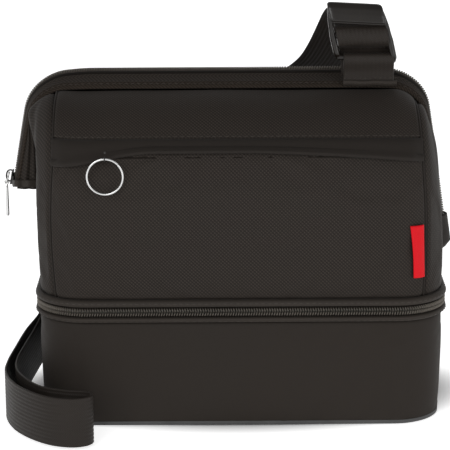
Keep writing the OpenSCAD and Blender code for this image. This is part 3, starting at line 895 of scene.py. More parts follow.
# %% Slopes up to the mouth
def slope(name, node, rear):
    points = tuck(panel(STITCH_T, SLOPE_END_T, 110, 46), left=1.6, right=1.6, low=1.3, high=1.6)
    x, t = np.linspace(0, 1, 110)[:, None], np.linspace(0, 1, 46)[None, :]
    ripple = 0.45 * np.sin(2 * math.pi * (2.2 * x + 0.3 * t)) + 0.3 * np.sin(2 * math.pi * (5.1 * x - 0.4 * t) + 1)
    sag = np.sin(math.pi * t) * (ripple - 0.5)
    points = points + normals_of(points) * sag[..., None]
    piece = thicken(grid_mesh(name, behind(points) if rear else points, nylon), 1.2)
    bend_with_mouth(piece)
    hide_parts(node)


slope("slope_front", "top_front_panel", False)
slope("slope_rear", "top_rear_panel", True)


# %% [markdown]
# The pocket's flap is sewn down along a topstitched line and falls over the zip in a hollow curve. Its
# free edge is rolled and droops a little towards both side seams.


# %% Pocket flap
def flap_edge(x):
    """The angle of the flap's free edge."""
    left, right = np.clip((-x - 58) / 70, 0, 1), np.clip((x - 5) / 124, 0, 1)
    droop = 9.0 * left**2 * (3 - 2 * left) + 6.8 * right**1.5
    return FLAP_T + 1.6 - droop / 1.12


def pocket_flap():
    # (share of the way down, how far it stands out), then the roll under the edge in degrees and millimetres
    fall = [(0.0, 0.1), (0.05, 1.0), (0.14, 1.9), (0.3, 2.5), (0.45, 2.7), (0.6, 2.9), (0.72, 3.3), (0.82, 3.9),
            (0.9, 4.4), (0.96, 4.6)]
    roll = [(0.0, 4.5), (-0.7, 4.0), (-0.9, 3.3), (-0.3, 2.8), (1.2, 2.7), (3.5, 2.5)]
    left, right = seam_x(30.0)
    x = left + 0.5 + (right - left - 1.0) * steps(120, 0.7)
    edge = flap_edge(x)
    ends = np.clip(np.minimum(x - left, right - x) / 9, 0, 1)
    ends = 0.45 + 0.55 * ends * ends * (3 - 2 * ends)
    rows = [front(x, STITCH_T + (edge - STITCH_T) * f, 0.1 + (o - 0.1) * ends) for f, o in fall]
    rows += [front(x, edge + d, 0.1 + (o - 0.1) * ends) for d, o in roll]
    points = np.stack(rows[::-1], 1)
    piece = thicken(grid_mesh("pocket_flap_cloth", points, nylon_edge), 0.8)
    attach(piece, "upper")
    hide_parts("pocket_flap")


pocket_flap()


# %% Pocket zip
POCKET_T, TOOTH_STEP_T = 28.6, 1.3


def pocket_zip():
    left, right = seam_x(POCKET_T)
    x = np.linspace(left + 9, right - 9, 200)
    ups = unit(front(x, POCKET_T + 1) - front(x, POCKET_T - 1))
    middle = front(x, POCKET_T, -0.9)
    outs = unit(np.cross(np.gradient(middle, axis=0), ups))
    for side, name in ((-1, "pocket_tape_lower"), (1, "pocket_tape_upper")):
        section = [(side * 1.2, -0.3), (side * 6.0, -0.3), (side * 6.0, 0.4), (side * 1.2, 0.4)]
        tape = sweep(name, middle, ups, outs, section, zip_tape)
        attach(tape, "upper")
        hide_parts("pocket_zip_tape")
    lines = [(front(x, POCKET_T - TOOTH_STEP_T, -0.1), outs), (front(x[1:], POCKET_T + TOOTH_STEP_T, -0.1), outs[1:])]
    teeth = beads("pocket_teeth", lines, 1.5, (0.85, 3.0, 1.8), coil)
    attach(teeth, "upper")
    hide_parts("pocket_zip_coil")


pocket_zip()


# %% Topstitches
def topstitch(name, t, out, rear=False, body="upper"):
    left, right = seam_x(t)
    x = np.linspace(left + 3, right - 3, 300)
    line = front(x, t, out)
    outs = unit(np.stack([0 * x, np.full_like(x, -math.cos(math.radians(t))), np.full_like(x, math.sin(math.radians(t)))], 1))
    if rear:
        line, outs = line * [1, -1, 1], outs * [1, -1, 1]
    row = stitches(name, [(line, outs)])
    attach(row, body)


topstitch("topstitch_front", STITCH_T + 1.7, -0.25)
topstitch("topstitch_rear", STITCH_T + 1.7, -0.25, rear=True)
topstitch("topstitch_rear_low", STITCH_T - 1.9, 0.0, rear=True)

# %% [markdown]
# ## Side gussets
# A gusset is cut to four edges: the plan below, a side seam, the middle of the side, and the mouth's
# band above. A Coons patch fills such a panel smoothly from its edges alone. Each side is two halves,
# because the front half follows the front of the mouth and the rear half follows the rear.


# %% Coons patch
def coons(low, high, left, right):
    """A panel from its four edges. low and high run along u, left and right along v."""
    u = np.linspace(0, 1, len(low))[:, None, None]
    v = np.linspace(0, 1, len(left))[None, :, None]
    along = (1 - v) * low[:, None] + v * high[:, None]
    up = (1 - u) * left[None] + u * right[None]
    corners = ((1 - u) * (1 - v) * low[0] + u * (1 - v) * low[-1] + (1 - u) * v * high[0] + u * v * high[-1])
    return along + up - corners


GUSSET_U, GUSSET_V = 44, 76


def seam_curve(side):
    """The side seam of the front panels, from the hem to the band."""
    t = np.linspace(FLOOR_T - 0.6, SLOPE_END_T, 120)
    left, right = seam_x(t)
    return resample(front(left if side < 0 else right, t), GUSSET_V)


def plan_between(start, end, z):
    """A stretch of the plan between two places on it."""
    points, _ = plan(1600)
    first = np.argmin(np.hypot(points[:, 0] - start[0], points[:, 1] - start[1]))
    last = np.argmin(np.hypot(points[:, 0] - end[0], points[:, 1] - end[1]))
    return raised(resample(points[first:last + 1], GUSSET_U), z)


def gusset_front(side):
    seam = seam_curve(side)
    low_z = seam[0][2]
    if side < 0:
        middle = curve_through([(-140.0, 0, low_z), (-140.4, 0, 125), (-139.4, 0, 158), (-140.6, -1, 178)], GUSSET_V)
        top = [(-140.6, -1, 178), (-141.2, -12, 182), (-142.0, -20, 190), (-144.4, -21.6, 201), (-147.6, -21.4, 211),
               (-143, -21.2, 218.5), (-136, -21, 223), tuple(seam[-1])]
    else:
        middle = curve_through([(140.0, 0, low_z), (138.9, 0, 125), (138.3, 0, 160), (138.8, -1, 178)], GUSSET_V)
        top = [tuple(seam[-1]), (127.6, -20.4, 213.5), (132.6, -20.4, 201.5), (136.6, -19.6, 187), (138.2, -12, 181), (138.8, -1, 178)]
    top = curve_through(top, GUSSET_U)
    if side < 0:
        low = plan_between((middle[0][0], 0), seam[0][:2], low_z)
        low[0], low[-1] = middle[0], seam[0]
        points = coons(low, top, middle, seam)
        u, v = np.linspace(0, 1, GUSSET_U)[:, None], np.linspace(0, 1, GUSSET_V)[None, :]
        points[..., 0] += 4.2 * np.sin(math.pi * u) ** 0.8 * np.sin(math.pi * v**0.85)
        return points
    low = plan_between(seam[0][:2], (middle[0][0], 0), low_z)
    low[0], low[-1] = seam[0], middle[0]
    return coons(low, top, seam, middle)


def crease(points, start, end, depth, width, spread=0.5):
    """A soft fold in a panel along a line between two points of its (u, v) square."""
    nu, nv = points.shape[:2]
    u, v = np.linspace(0, 1, nu)[:, None], np.linspace(0, 1, nv)[None, :]
    a, b = np.array(start), np.array(end)
    d = b - a
    along = ((u - a[0]) * d[0] + (v - a[1]) * d[1]) / (d @ d)
    off = ((u - a[0]) * d[1] - (v - a[1]) * d[0]) / math.sqrt(d @ d)
    fade = np.exp(-(((along - 0.5) / spread) ** 4))
    return points + normals_of(points) * (depth * np.exp(-((off / width) ** 2)) * fade)[..., None]


def gussets():
    for side, word in ((-1, "left"), (1, "right")):
        points = gusset_front(side)
        seam_first = side > 0
        u_seam = 0.0 if seam_first else 1.0
        inward = 1 if seam_first else -1
        points = crease(points, (u_seam + inward * 0.22, 0.98), (u_seam + inward * 0.5, 0.45), -1.6, 0.06)
        points = crease(points, (u_seam + inward * 0.45, 0.95), (u_seam + inward * 0.75, 0.5), 0.5, 0.08)
        points = crease(points, (u_seam + inward * 0.8, 0.8), (u_seam + inward * 0.9, 0.3), -0.9, 0.09)
        depths = {"left": 1.6, "right": 0.0} if seam_first else {"left": 0.0, "right": 1.6}
        points = tuck(points, **depths, low=1.8, high=0.8)
        for rear in (False, True):
            name = f"gusset_{word}_{'rear' if rear else 'front'}"
            piece = grid_mesh(name, behind(points) if rear else points, nylon)
            pins = edge_pins(GUSSET_U, GUSSET_V, 2)
            settle(piece, pins, 0.3, 0.004, 1.0, 14)
            thicken(piece, 1.2)
            bend_with_mouth(piece)
            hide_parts(f"gusset_{word}", f"gusset_fold_{word}")


gussets()


# %% Piped side seams
def side_seams():
    """A narrow welt lies beside each side seam, on the panel's side."""
    for side, word in ((-1, "left"), (1, "right")):
        seam = seam_curve(side) + [side * -1.1, 0, 0]
        for rear in (False, True):
            line = seam * [1, -1, 1] if rear else seam
            tangent = unit(np.gradient(line, axis=0))
            facing = np.broadcast_to([side * 0.35, 1.0 if rear else -1.0, 0.0], tangent.shape)
            outs = unit(np.cross(np.cross(tangent, facing), tangent))
            across = np.cross(tangent, outs)
            welt = sweep(f"welt_{word}_{'rear' if rear else 'front'}", line - outs * 0.5, across, outs,
                         oval(1.7, 1.5, 8), nylon_edge)
            bend_with_mouth(welt)


side_seams()

# %% [markdown]
# ## The mouth's zip
# One zip runs from a free tail on the left, up over the crest and down the right side. Everything on
# it is the same outline carried along one path: coil, tape and a folded band that joins the slopes.
# The path's frame holds the way out of the bag and the way down the band, which is steeper on top.


# %% Path of the zip
def crown(x):
    """The crest stands a little higher between its corners."""
    a, b = np.clip((x + 146) / 44, 0, 1), np.clip((x - 84) / 44, 0, 1)
    return 3.0 * a * a * (3 - 2 * a) * (1 - b * b * (3 - 2 * b))


def arch_path(count):
    (lx, lz, lr, ll), (rx, rz, rr, rl) = LEFT_ARC, RIGHT_ARC
    left_top = np.array([lx - lr * math.cos(ll), lz + lr * math.sin(ll)])
    right_top = np.array([rx + rr * math.cos(rl), rz + rr * math.sin(rl)])
    start = left_top + [-(left_top[1] - TAIL_Z) * math.tan(ll), TAIL_Z - left_top[1]]
    end = right_top + [(right_top[1] - LEG_Z) * math.tan(rl), LEG_Z - right_top[1]]
    a = np.linspace(math.pi - ll, math.pi / 2, 40)
    b = np.linspace(math.pi / 2, rl, 40)
    flat = np.vstack([start, np.stack([lx + lr * np.cos(a), lz + lr * np.sin(a)], 1),
                      np.stack([rx + rr * np.cos(b), rz + rr * np.sin(b)], 1), end])
    path = resample(np.stack([flat[:, 0], 0 * flat[:, 0], flat[:, 1]], 1), count)
    path[:, 2] += crown(path[:, 0])
    tangent = unit(np.gradient(path, axis=0))
    return path, np.stack([-tangent[:, 2], 0 * tangent[:, 0], tangent[:, 0]], 1)


MOUTH_N = 420
mouth_path, mouth_out = arch_path(MOUTH_N)
right_side, mouth_z = mouth_path[:, 0] > 0, mouth_path[:, 2]
SLOPE_LEFT, SLOPE_TOP, SLOPE_RIGHT, SLOPE_FOOT = 12.0, 23.0, 5.0, 40.0
mouth_slope = np.where(
    right_side,
    np.interp(mouth_z, [LEG_Z, 150, 178, 208, CREST_Z], [SLOPE_FOOT, 22, SLOPE_RIGHT, 13, SLOPE_TOP]),
    np.interp(mouth_z, [TAIL_Z, 205, CREST_Z], [SLOPE_LEFT, 14, SLOPE_TOP]))
kernel = np.ones(15) / 15
mouth_slope = np.convolve(np.pad(mouth_slope, 7, mode="edge"), kernel, "valid")
BAND_FULL = BAND_Y / math.cos(math.radians(SLOPE_TOP))
band_reach = np.where(right_side, np.interp(mouth_z, [LEG_Z, 178, 200, CREST_Z], [12.0, 17.0, 24.0, BAND_FULL]), BAND_FULL)
band_reach = band_reach + crown(mouth_path[:, 0])
print("zip", round(np.linalg.norm(np.diff(mouth_path, axis=0), axis=1).sum()), "mm long")


def mouth_frame(rear=False):
    """For each place on the path, the way down the band and the way out of its face."""
    a = np.radians(mouth_slope)[:, None]
    away = np.array([[0, 1.0 if rear else -1.0, 0]])
    return np.cos(a) * away - np.sin(a) * mouth_out, np.cos(a) * mouth_out + np.sin(a) * away


def mouth_line(w, h, rear=False, cut=slice(None)):
    """A line along the zip, w from its middle and h out of its face."""
    down, out = mouth_frame(rear)
    w = np.broadcast_to(np.asarray(w, float), (MOUTH_N,))[:, None]
    return (mouth_path + w * down + h * out)[cut], out[cut]


# %% Tape, coil and band
def band_section():
    """The folded band: two fine ridges run along it near its free edge."""
    end = band_reach[:, None]
    rise = [(8.4, -1.0), (9.0, -0.2), (9.9, 0.1)]
    ridges = [(-6.4, 0.1), (-5.9, 0.55), (-5.3, 0.1), (-3.5, 0.1), (-2.9, 0.55), (-2.4, 0.1), (-1.0, 0.1), (-0.3, -0.3),
              (0.0, -1.0), (-0.5, -1.8)]
    first = np.broadcast_to(np.array(rise), (MOUTH_N, 3, 2))
    edge = np.stack([np.stack([np.maximum(end[:, 0] + w, 9.95 + 0.01 * k), np.full(MOUTH_N, h)], 1)
                     for k, (w, h) in enumerate(ridges)], 1)
    last = np.broadcast_to(np.array([(9.2, -1.9)]), (MOUTH_N, 1, 2))
    return np.concatenate([first, edge, last], 1)


def mouth_half(rear):
    word = "rear" if rear else "front"
    down, out = mouth_frame(rear)
    tape = sweep(f"mouth_tape_{word}_cloth", mouth_path, down, out, [(1.9, -2.1), (10.4, -2.1), (10.4, -1.3), (1.9, -1.3)],
                 zip_tape)
    band = sweep(f"mouth_band_{word}_cloth", mouth_path, down, out, band_section(), band_tape)
    teeth = beads(f"mouth_teeth_{word}", [mouth_line(1.5, -1.1, rear, slice(6 if rear else 5, None))],
                  TOOTH_PITCH, (0.98, 3.4, 2.1), coil, 0.25 if rear else -0.25)
    cord = sweep(f"coil_sewing_{word}", mouth_line(3.6, -1.0, rear)[0], down, out, oval(0.8, 0.8, 6), thread)
    rows = stitches(f"band_stitches_{word}", [mouth_line(np.maximum(band_reach - 4.4, 6), 0.05, rear, slice(6, None))])
    for piece in (tape, band, cord):
        for vert in piece.data.vertices:
            if vert.co.x < -0.14:
                vert.co.z = max(vert.co.z, (TAIL_Z + 1.2) * MM + 0.24 * abs(vert.co.y))
    for piece in (tape, band, teeth, cord, rows):
        bend_with_mouth(piece)
    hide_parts(f"mouth_tape_{word}")
    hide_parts(f"mouth_band_{word}", "tail_band_left")
    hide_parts(f"mouth_coil_{word}", "zip_tail_left", "zip_leg_right")


mouth_half(False)
mouth_half(True)

# %% [markdown]
# On the left the zip runs past the gusset and hangs free. The gusset follows it in a pleat with two
# soft ridges, and a hem finishes the end. On the right the zip ends on the gusset, under a folded tab.


# %% Left tail
TAIL_TOP, PLEAT_U, PLEAT_V = 212.0, 26, 50


def tail_pleat(rear):
    edge, _ = mouth_line(band_reach - 0.6, -1.2)
    keep = (mouth_path[:, 0] < 0) & (edge[:, 2] < TAIL_TOP + 2)
    outer = resample(edge[keep], PLEAT_V)
    valley = curve_through([(-142.2, -22.6, outer[0][2] + 4.4), (-142.2, -23.2, 174), (-143.0, -22.6, 190), (-145.6, -22.0, 203),
                            tuple(outer[-1] + [0.8, 0.3, -0.6])], PLEAT_V)
    u, v = np.linspace(0, 1, PLEAT_U)[:, None], np.linspace(0, 1, PLEAT_V)[None, :]
    points = outer[None] * (1 - u[..., None]) + valley[None] * u[..., None]
    points[..., 2] += 4.6 * (1 - u) * np.clip(1 - v * 4, 0, 1)
    fade = np.clip((1 - v) * 2.2, 0, 1)
    ridge = 1.5 * np.exp(-(((u - 0.34) / 0.2) ** 2)) + 0.9 * np.exp(-(((u - 0.78) / 0.14) ** 2))
    ridge = ridge - 0.5 * np.exp(-(((u - 0.58) / 0.1) ** 2)) - 1.2 * np.exp(-(((u - 1.0) / 0.06) ** 2))
    points[..., 1] -= ridge * fade
    piece = thicken(grid_mesh("tail_pleat_" + ("rear" if rear else "front"), behind(points) if rear else points, nylon), 1.0)
    bend_with_mouth(piece)


tail_pleat(False)
tail_pleat(True)


def tail_hem():
    """A bound edge round the open end of the tail."""
    half = [(-142.6, -22.9), (-148.5, -24.6), (-152.5, -22.6), (-156.2, -23.4), (-158.0, -21.6), (-159.6, -15),
            (-160.8, -7), (-161.3, 0)]
    ring = half + [(x, -y) for x, y in half[-2::-1]]
    path = curve_through([(x, y, TAIL_Z + 2.2 + 0.24 * abs(y)) for x, y in ring], 90)
    tangent = unit(np.gradient(path, axis=0))
    outward = np.cross(tangent, UP)
    piece = sweep("tail_hem", path, outward, np.broadcast_to(UP, path.shape), oval(1.5, 5.2, 10, 0.7), binding)
    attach(piece, "upper")


tail_hem()


# %% Right end tab
def end_tab():
    """A folded tab like a small roof over the end of the right leg."""
    z = np.array([131.5, 131.0, 125, 118, 112, 108, 105.5, 104.0])
    lift = np.interp(z, [104, 105.5, 108, 112, 132], [0.5, 3.5, 7.6, 9.6, 0])
    leg = np.interp(z, mouth_z[right_side][::-1], mouth_path[right_side, 0][::-1])
    apex = np.where(z > 111, leg + 1.3, HALF_W + lift)
    half = 13.0
    a = np.linspace(-1, 1, 25)
    shape = 1 - np.abs(a) ** 1.7
    points = np.stack([np.stack([HALF_W + 0.6 + (top - HALF_W - 0.6) * shape, a * half, np.full(25, h)], 1)
                       for top, h in zip(apex, z)], 1)[:, ::-1]
    piece = thicken(grid_mesh("zip_end_cover", points, nylon_edge), 1.0)
    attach(piece, "upper")
    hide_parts("zip_end_tab")


end_tab()

# %% [markdown]
# ## Label
# A red woven tape, folded and caught in the right seam. It carries no words here.


# %% Label
def label():
    low, high = node_box("label_tab")
    v = np.linspace(0, 1, 30)
    z = low[2] - 0.6 + (high[2] - low[2] - 0.6) * v
    left, right = 117.0 - 3.0 * v + 0.5 * np.sin(math.pi * v), 124.8 - 1.2 * v
    u = np.linspace(0, 1, 14)[:, None]
    x = left + (right - left) * u
    lift = 1.5 + 0.5 * np.sin(math.pi * u) + 0.5 * np.sin(math.pi * v) * (1 - u)
    points = front(x, (z - BEND_Z)[None, :], 0.0)
    outward = unit(np.stack([0.45 + 0 * x, -0.9 + 0 * x, 0 * x], -1))
    points = points + outward * lift[..., None]
    piece = grid_mesh("label_cloth", points, label_red)
    thicken(piece, 1.1)
    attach(piece, "upper")
    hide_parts("label_tab")


label()

# %% [markdown]
# ## Hardware
# Small castings are blocks with generous rounded edges, bridged by bent wire. The sliders wrap their
# coil rows, and every pull hangs from an eye on its slider.


# %% Small metal shapes
def rounded_block(low, high, bevel=0.4, segments=3):
    """A block with rounded edges as a loose bmesh, in millimetres."""
    shape = bmesh.new()
    bmesh.ops.create_cube(shape, size=1.0)
    low, high = Vector(low), Vector(high)
    for vert in shape.verts:
        vert.co = Vector((vert.co[k] * (high[k] - low[k]) + (low[k] + high[k]) / 2 for k in range(3)))
    bmesh.ops.bevel(shape, geom=shape.edges[:], offset=bevel, segments=segments, affect="EDGES", profile=0.5)
    return shape


def wire(points, radius, closed=False, sides=10):
    """Round wire bent along a path, as points for a swept grid."""
    points = np.asarray(points, float)
    tangent = unit(np.roll(points, -1, 0) - np.roll(points, 1, 0)) if closed else unit(np.gradient(points, axis=0))
    guide = np.array([0.0, 1.0, 0.0]) if abs(tangent[:, 1]).mean() < 0.7 else UP
    side = unit(np.cross(tangent, guide))
    out = np.cross(side, tangent)
    ring = oval(2 * radius, 2 * radius, sides)
    return points[:, None] + ring[:, :1] * side[:, None] + ring[:, 1:] * out[:, None]


def assemble(name, parts, material, place=Matrix.Identity(4)):
    """Joins blocks and wires into one piece and puts it in its place."""
    shape = bmesh.new()
    for part in parts:
        if isinstance(part, bmesh.types.BMesh):
            scratch = bpy.data.meshes.new("scratch")
            part.to_mesh(scratch)
            part.free()
        else:
            grid, closed = part
            scratch_piece = grid_mesh("scratch", grid / MM, material, loop_u=closed, loop_v=True, caps=not closed)
            scratch = scratch_piece.data
            bpy.data.objects.remove(scratch_piece)
        shape.from_mesh(scratch)
        bpy.data.meshes.remove(scratch)
    mesh = bpy.data.meshes.new(name)
    bmesh.ops.recalc_face_normals(shape, faces=shape.faces)
    shape.to_mesh(mesh)
    shape.free()
    mesh.transform(Matrix.Diagonal((MM, MM, MM, 1)) @ place)
    mesh.polygons.foreach_set("use_smooth", [True] * len(mesh.polygons))
    mesh.materials.clear()
    mesh.materials.append(material)
    if "weave" not in mesh.uv_layers:
        mesh.uv_layers.new(name="weave")
    piece = bpy.data.objects.new(name, mesh)
    bpy.context.scene.collection.objects.link(piece)
    mesh.set_sharp_from_angle(angle=math.radians(50))
    return piece


def circle(radius, count=32, centre=(0, 0, 0), axis="y"):
    a = np.linspace(0, 2 * math.pi, count, endpoint=False)
    c, s, o = radius * np.cos(a), radius * np.sin(a), 0 * a
    return np.array(centre) + np.stack({"y": (c, o, s), "x": (o, c, s), "z": (c, s, o)}[axis], 1)


# %% Mouth slider and its pull
def mouth_slider():
    low, high = node_box("top_slider")
    link = node_box("top_pull_link")
    bar = node_box("top_pull_bar")
    lean = LEFT_ARC[3]
    z = 160.0
    x = np.interp(z, mouth_z[~right_side], mouth_path[~right_side, 0])
    place = Matrix.Translation((x, 0, z)) @ Matrix.Rotation(lean, 4, "Y")
    bail = [(-1.2, 0, -3.4), (-3.2, 0, -3.2), (-4.6, 0, -1.4), (-5.0, 0, 1.2), (-4.5, 0, 3.4), (-3.0, 0, 4.6), (-1.2, 0, 4.5)]
    body = assemble("mouth_slider_body", [
        rounded_block((-1.5, -4.7, -4.8), (-0.35, 4.7, 4.8), 0.45),
        rounded_block((2.6, -4.5, -4.6), (3.6, 4.5, 4.6), 0.4),
        rounded_block((-0.5, -0.55, 0), (2.8, 0.55, 3.2), 0.2),
        rounded_block((-0.6, -4.9, -4.4), (0.8, -4.2, 1.6), 0.25),
        rounded_block((-0.6, 4.2, -4.4), (0.8, 4.9, 1.6), 0.25),
        (wire(curve_through(bail, 24), 0.6), False),
    ], lacquer, place)
    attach(body, "mouth_slider")
    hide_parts("top_slider")
    top = Vector(((link[0][0] + link[1][0]) / 2 + 0.9, 0, link[1][2] - 0.7))
    foot = Vector(((bar[0][0] + bar[1][0]) / 2, 0, bar[1][2] - 1.7))
    middle = (top + foot) / 2
    half = (top - foot).length / 2 + 0.4
    oval_link = np.stack([0 * np.linspace(0, 1, 40, endpoint=False),
                          1.5 * np.cos(np.linspace(0, 2 * math.pi, 40, endpoint=False)),
                          half * np.sin(np.linspace(0, 2 * math.pi, 40, endpoint=False))], 1)
    tilt = math.atan2(top.x - foot.x, top.z - foot.z)
    place = Matrix.Translation(middle) @ Matrix.Rotation(tilt, 4, "Y")
    a = unit(np.roll(oval_link, -1, 0) - np.roll(oval_link, 1, 0))
    side = np.broadcast_to([1.0, 0, 0], a.shape)
    ring = oval(1.0, 0.95, 8)
    grid = oval_link[:, None] + ring[:, :1] * side[:, None] + ring[:, 1:] * np.cross(a, side)[:, None]
    piece = assemble("pull_link", [(grid, True)], nickel, place)
    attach(piece, "pull_link")
    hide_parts("top_pull_link")
    length = foot.z - bar[0][2]
    z = -np.array([1.3, 2.2, 4, 8, length - 3, length - 1.2, length - 0.5, length - 0.1])
    wide = np.array([0.8, 1.1, 1.25, 1.3, 1.5, 1.5, 1.2, 0.6])
    outline = oval(2, 2, 14, 0.6)
    shaft = np.stack([np.stack([outline[:, 0] * w * 0.8, outline[:, 1] * w, np.full(14, h)], 1) for h, w in zip(z, wide)])
    eye = wire(circle(1.25, 24), 0.55, closed=True)
    piece = assemble("pull_bar", [(shaft, False), (eye, True)], nickel, Matrix.Translation(foot))
    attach(piece, "pull_bar")
    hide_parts("top_pull_bar")


mouth_slider()


# %% Pocket slider and split ring
def pocket_pull():
    ring = node_box("pocket_ring")
    cx, cz = (ring[0][0] + ring[1][0]) / 2 - 1.2, (ring[0][2] + ring[1][2]) / 2 + 1.4
    cy = (ring[0][1] + ring[1][1]) / 2
    radius, thick = (ring[1][0] - ring[0][0]) / 2, ring[1][1] - ring[0][1]
    slope_point = front(cx, POCKET_T)
    place = Matrix.Translation(Vector(slope_point)) @ Matrix.Rotation(math.radians(-POCKET_T), 4, "X")
    top = cz + radius
    body = assemble("pocket_slider_plate", [
        rounded_block((-3.8, -2.3, -3.8), (3.8, -1.5, 3.4), 0.35),
        rounded_block((-0.9, -1.7, -0.6), (0.9, -1.2, 0.6), 0.15),
        rounded_block((-0.8, -3.6, -3.6), (0.8, -2.0, -1.8), 0.4),
    ], lacquer, place)
    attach(body, "pocket_slider")
    eye = assemble("pocket_slider_eye", [
        (wire(circle(1.5, 24, axis="x"), 0.42, closed=True), True),
        rounded_block((-0.5, 1.2, -0.9), (0.5, 5.6, 0.5), 0.25)], lacquer,
        Matrix.Translation((cx, cy, top - 0.6)))
    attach(eye, "pocket_slider")
    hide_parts("pocket_slider")
    turns = 2.06
    a = np.linspace(0, 2 * math.pi * turns, 200)
    drift = (a / (2 * math.pi) - turns / 2) * thick * 0.42
    coil_r = radius - 0.65
    line = np.stack([cx + coil_r * np.sin(a + 0.8), cy + drift, cz + coil_r * np.cos(a + 0.8)], 1)
    tangent = unit(np.gradient(line, axis=0))
    side = np.broadcast_to([0.0, 1.0, 0.0], tangent.shape)
    piece = sweep("split_ring", line, np.cross(tangent, side), side, oval(1.25, thick * 0.42, 12, 0.75), nickel)
    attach(piece, "key_ring")
    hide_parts("pocket_ring")


pocket_pull()


# %% Waist slider and its pull
def waist_pull():
    low, high = node_box("lower_slider")
    pull_low, pull_high = node_box("lower_pull")
    y = (low[1] + high[1]) / 2
    x = HALF_W
    body = assemble("waist_slider_body", [
        rounded_block((x + 2.8, y - 5, WAIST_Z - 3.6), (x + 3.9, y + 5, WAIST_Z + 3.6), 0.5),
        rounded_block((x - 0.6, y - 2, WAIST_Z - 0.5), (x + 3.0, y + 2, WAIST_Z + 0.5), 0.2),
        (wire(curve_through([(x + 3.4, y, WAIST_Z - 2.6), (x + 5.0, y, WAIST_Z - 2.2), (x + 6.6, y, WAIST_Z),
                             (x + 5.0, y, WAIST_Z + 2.2), (x + 3.4, y, WAIST_Z + 2.6)], 20), 0.6), False),
    ], lacquer)
    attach(body, "waist_slider")
    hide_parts("lower_slider")
    px = (pull_low[0] + pull_high[0]) / 2
    run = np.linspace(0, 1, 24)
    yy = pull_low[1] + 0.4 + (pull_high[1] - pull_low[1] - 0.4) * run
    wide = np.interp(run, [0, 0.12, 0.28, 0.8, 0.95, 1], [1.0, 1.1, 3.0, 3.5, 2.8, 0.8])
    deep = 1.05 + 0.12 * np.cos(run * 2 * math.pi * 6) * (run > 0.3)
    outline = oval(2, 2, 16, 0.65)
    grid = np.stack([np.stack([px + outline[:, 0] * d, np.full(16, h), WAIST_Z + outline[:, 1] * w], 1)
                     for h, w, d in zip(yy, wide, deep)])
    piece = assemble("waist_pull_tab", [(grid, False)], pull_rubber)
    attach(piece, "waist_pull")
    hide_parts("lower_pull")


waist_pull()

# %% [markdown]
# ## Shoulder strap
# The strap is 36 mm webbing: flat, ribbed along its length, and rounded at its selvedges. It is laid
# along the same points as in the frame, with a rough direction for its width at each point.


# %% Webbing
WEB_W = node_box("strap_tab")[1][0] - node_box("strap_tab")[0][0] - 1.2
WEB_T, RIBS = 1.6, 12


def web_section():
    """The webbing's outline, with ribs on both faces."""
    edge = WEB_W / 2 - 0.8
    a = np.linspace(-edge, edge, RIBS * 4 + 1)
    rib = 0.16 * np.cos(a / (2 * edge) * RIBS * 2 * math.pi)
    face = WEB_T / 2 - 0.12
    top = np.stack([a, face + rib], 1)
    cap = np.array([(edge + 0.55, face * 0.75), (edge + 0.8, 0), (edge + 0.55, -face * 0.75)])
    return np.vstack([top, cap, np.stack([a[::-1], -face - rib], 1), -cap])


def lay_webbing(name, route, count, material=webbing):
    """Webbing along listed points (x, y, z, width direction)."""
    line = curve_through([(*p, *w) for p, w in route], count)
    path, rough = line[:, :3], line[:, 3:]
    tangent = unit(np.gradient(path, axis=0))
    across = unit(rough - (rough * tangent).sum(1, keepdims=True) * tangent)
    return sweep(name, path, across, np.cross(tangent, across), web_section(), material), path, across


ACROSS, UPRIGHT = (1, 0, 0), (0, 0, -1)
OVER_ROUTE = [((81, -13, 279.5), ACROSS), ((80.8, -4, 281), ACROSS), ((79.8, 8, 278.5), ACROSS), ((76.6, 20, 272), ACROSS),
              ((71.6, 35, 257), ACROSS), ((66.5, 48, 243), ACROSS), ((60, 60, 230), ACROSS), ((51, 69.5, 219.5), ACROSS),
              ((40, 76.5, 211), ACROSS), ((28.3, 81, 200.6), ACROSS)]
LOOP_ROUTE = [
    ((28.3, 81, 200.6), ACROSS), ((0, 89, 172), ACROSS), ((-35, 93, 137), ACROSS), ((-68, 94, 104), ACROSS),
    ((-98, 92, 77), ACROSS), ((-122, 88, 56), UPRIGHT), ((-139, 75, 39), UPRIGHT), ((-148.5, 52, 27), UPRIGHT),
    ((-157.5, 22, 22), UPRIGHT), ((-162, -14, 20.5), UPRIGHT), ((-164.5, -42, 20), UPRIGHT), ((-164, -66, 20), UPRIGHT),
    ((-157.5, -88, 20), UPRIGHT), ((-146, -106, 20), UPRIGHT), ((-131, -120, 20), UPRIGHT), ((-116, -125.5, 20), UPRIGHT),
    ((-105, -123, 20), UPRIGHT), ((-101, -116, 20), UPRIGHT), ((-105, -110, 20), UPRIGHT), ((-120, -107, 20), UPRIGHT),
    ((-137, -98.5, 20), UPRIGHT), ((-149.5, -80, 20), UPRIGHT), ((-157, -60, 20), UPRIGHT), ((-158.5, -38, 20), UPRIGHT),
    ((-156.5, -12, 20), UPRIGHT), ((-152.5, 22, 21), UPRIGHT), ((-147, 46, 26), UPRIGHT), ((-135.5, 68, 37), UPRIGHT),
    ((-120, 82, 54), UPRIGHT), ((-106, 87.5, 76), ACROSS), ((-97, 87, 104), ACROSS), ((-93.5, 85, 136), ACROSS),
    ((-93, 83, 166), ACROSS), ((-93, 79.6, 180), ACROSS), ((-93, 76.8, 189), ACROSS), ((-93, 72.9, 197.1), ACROSS)]
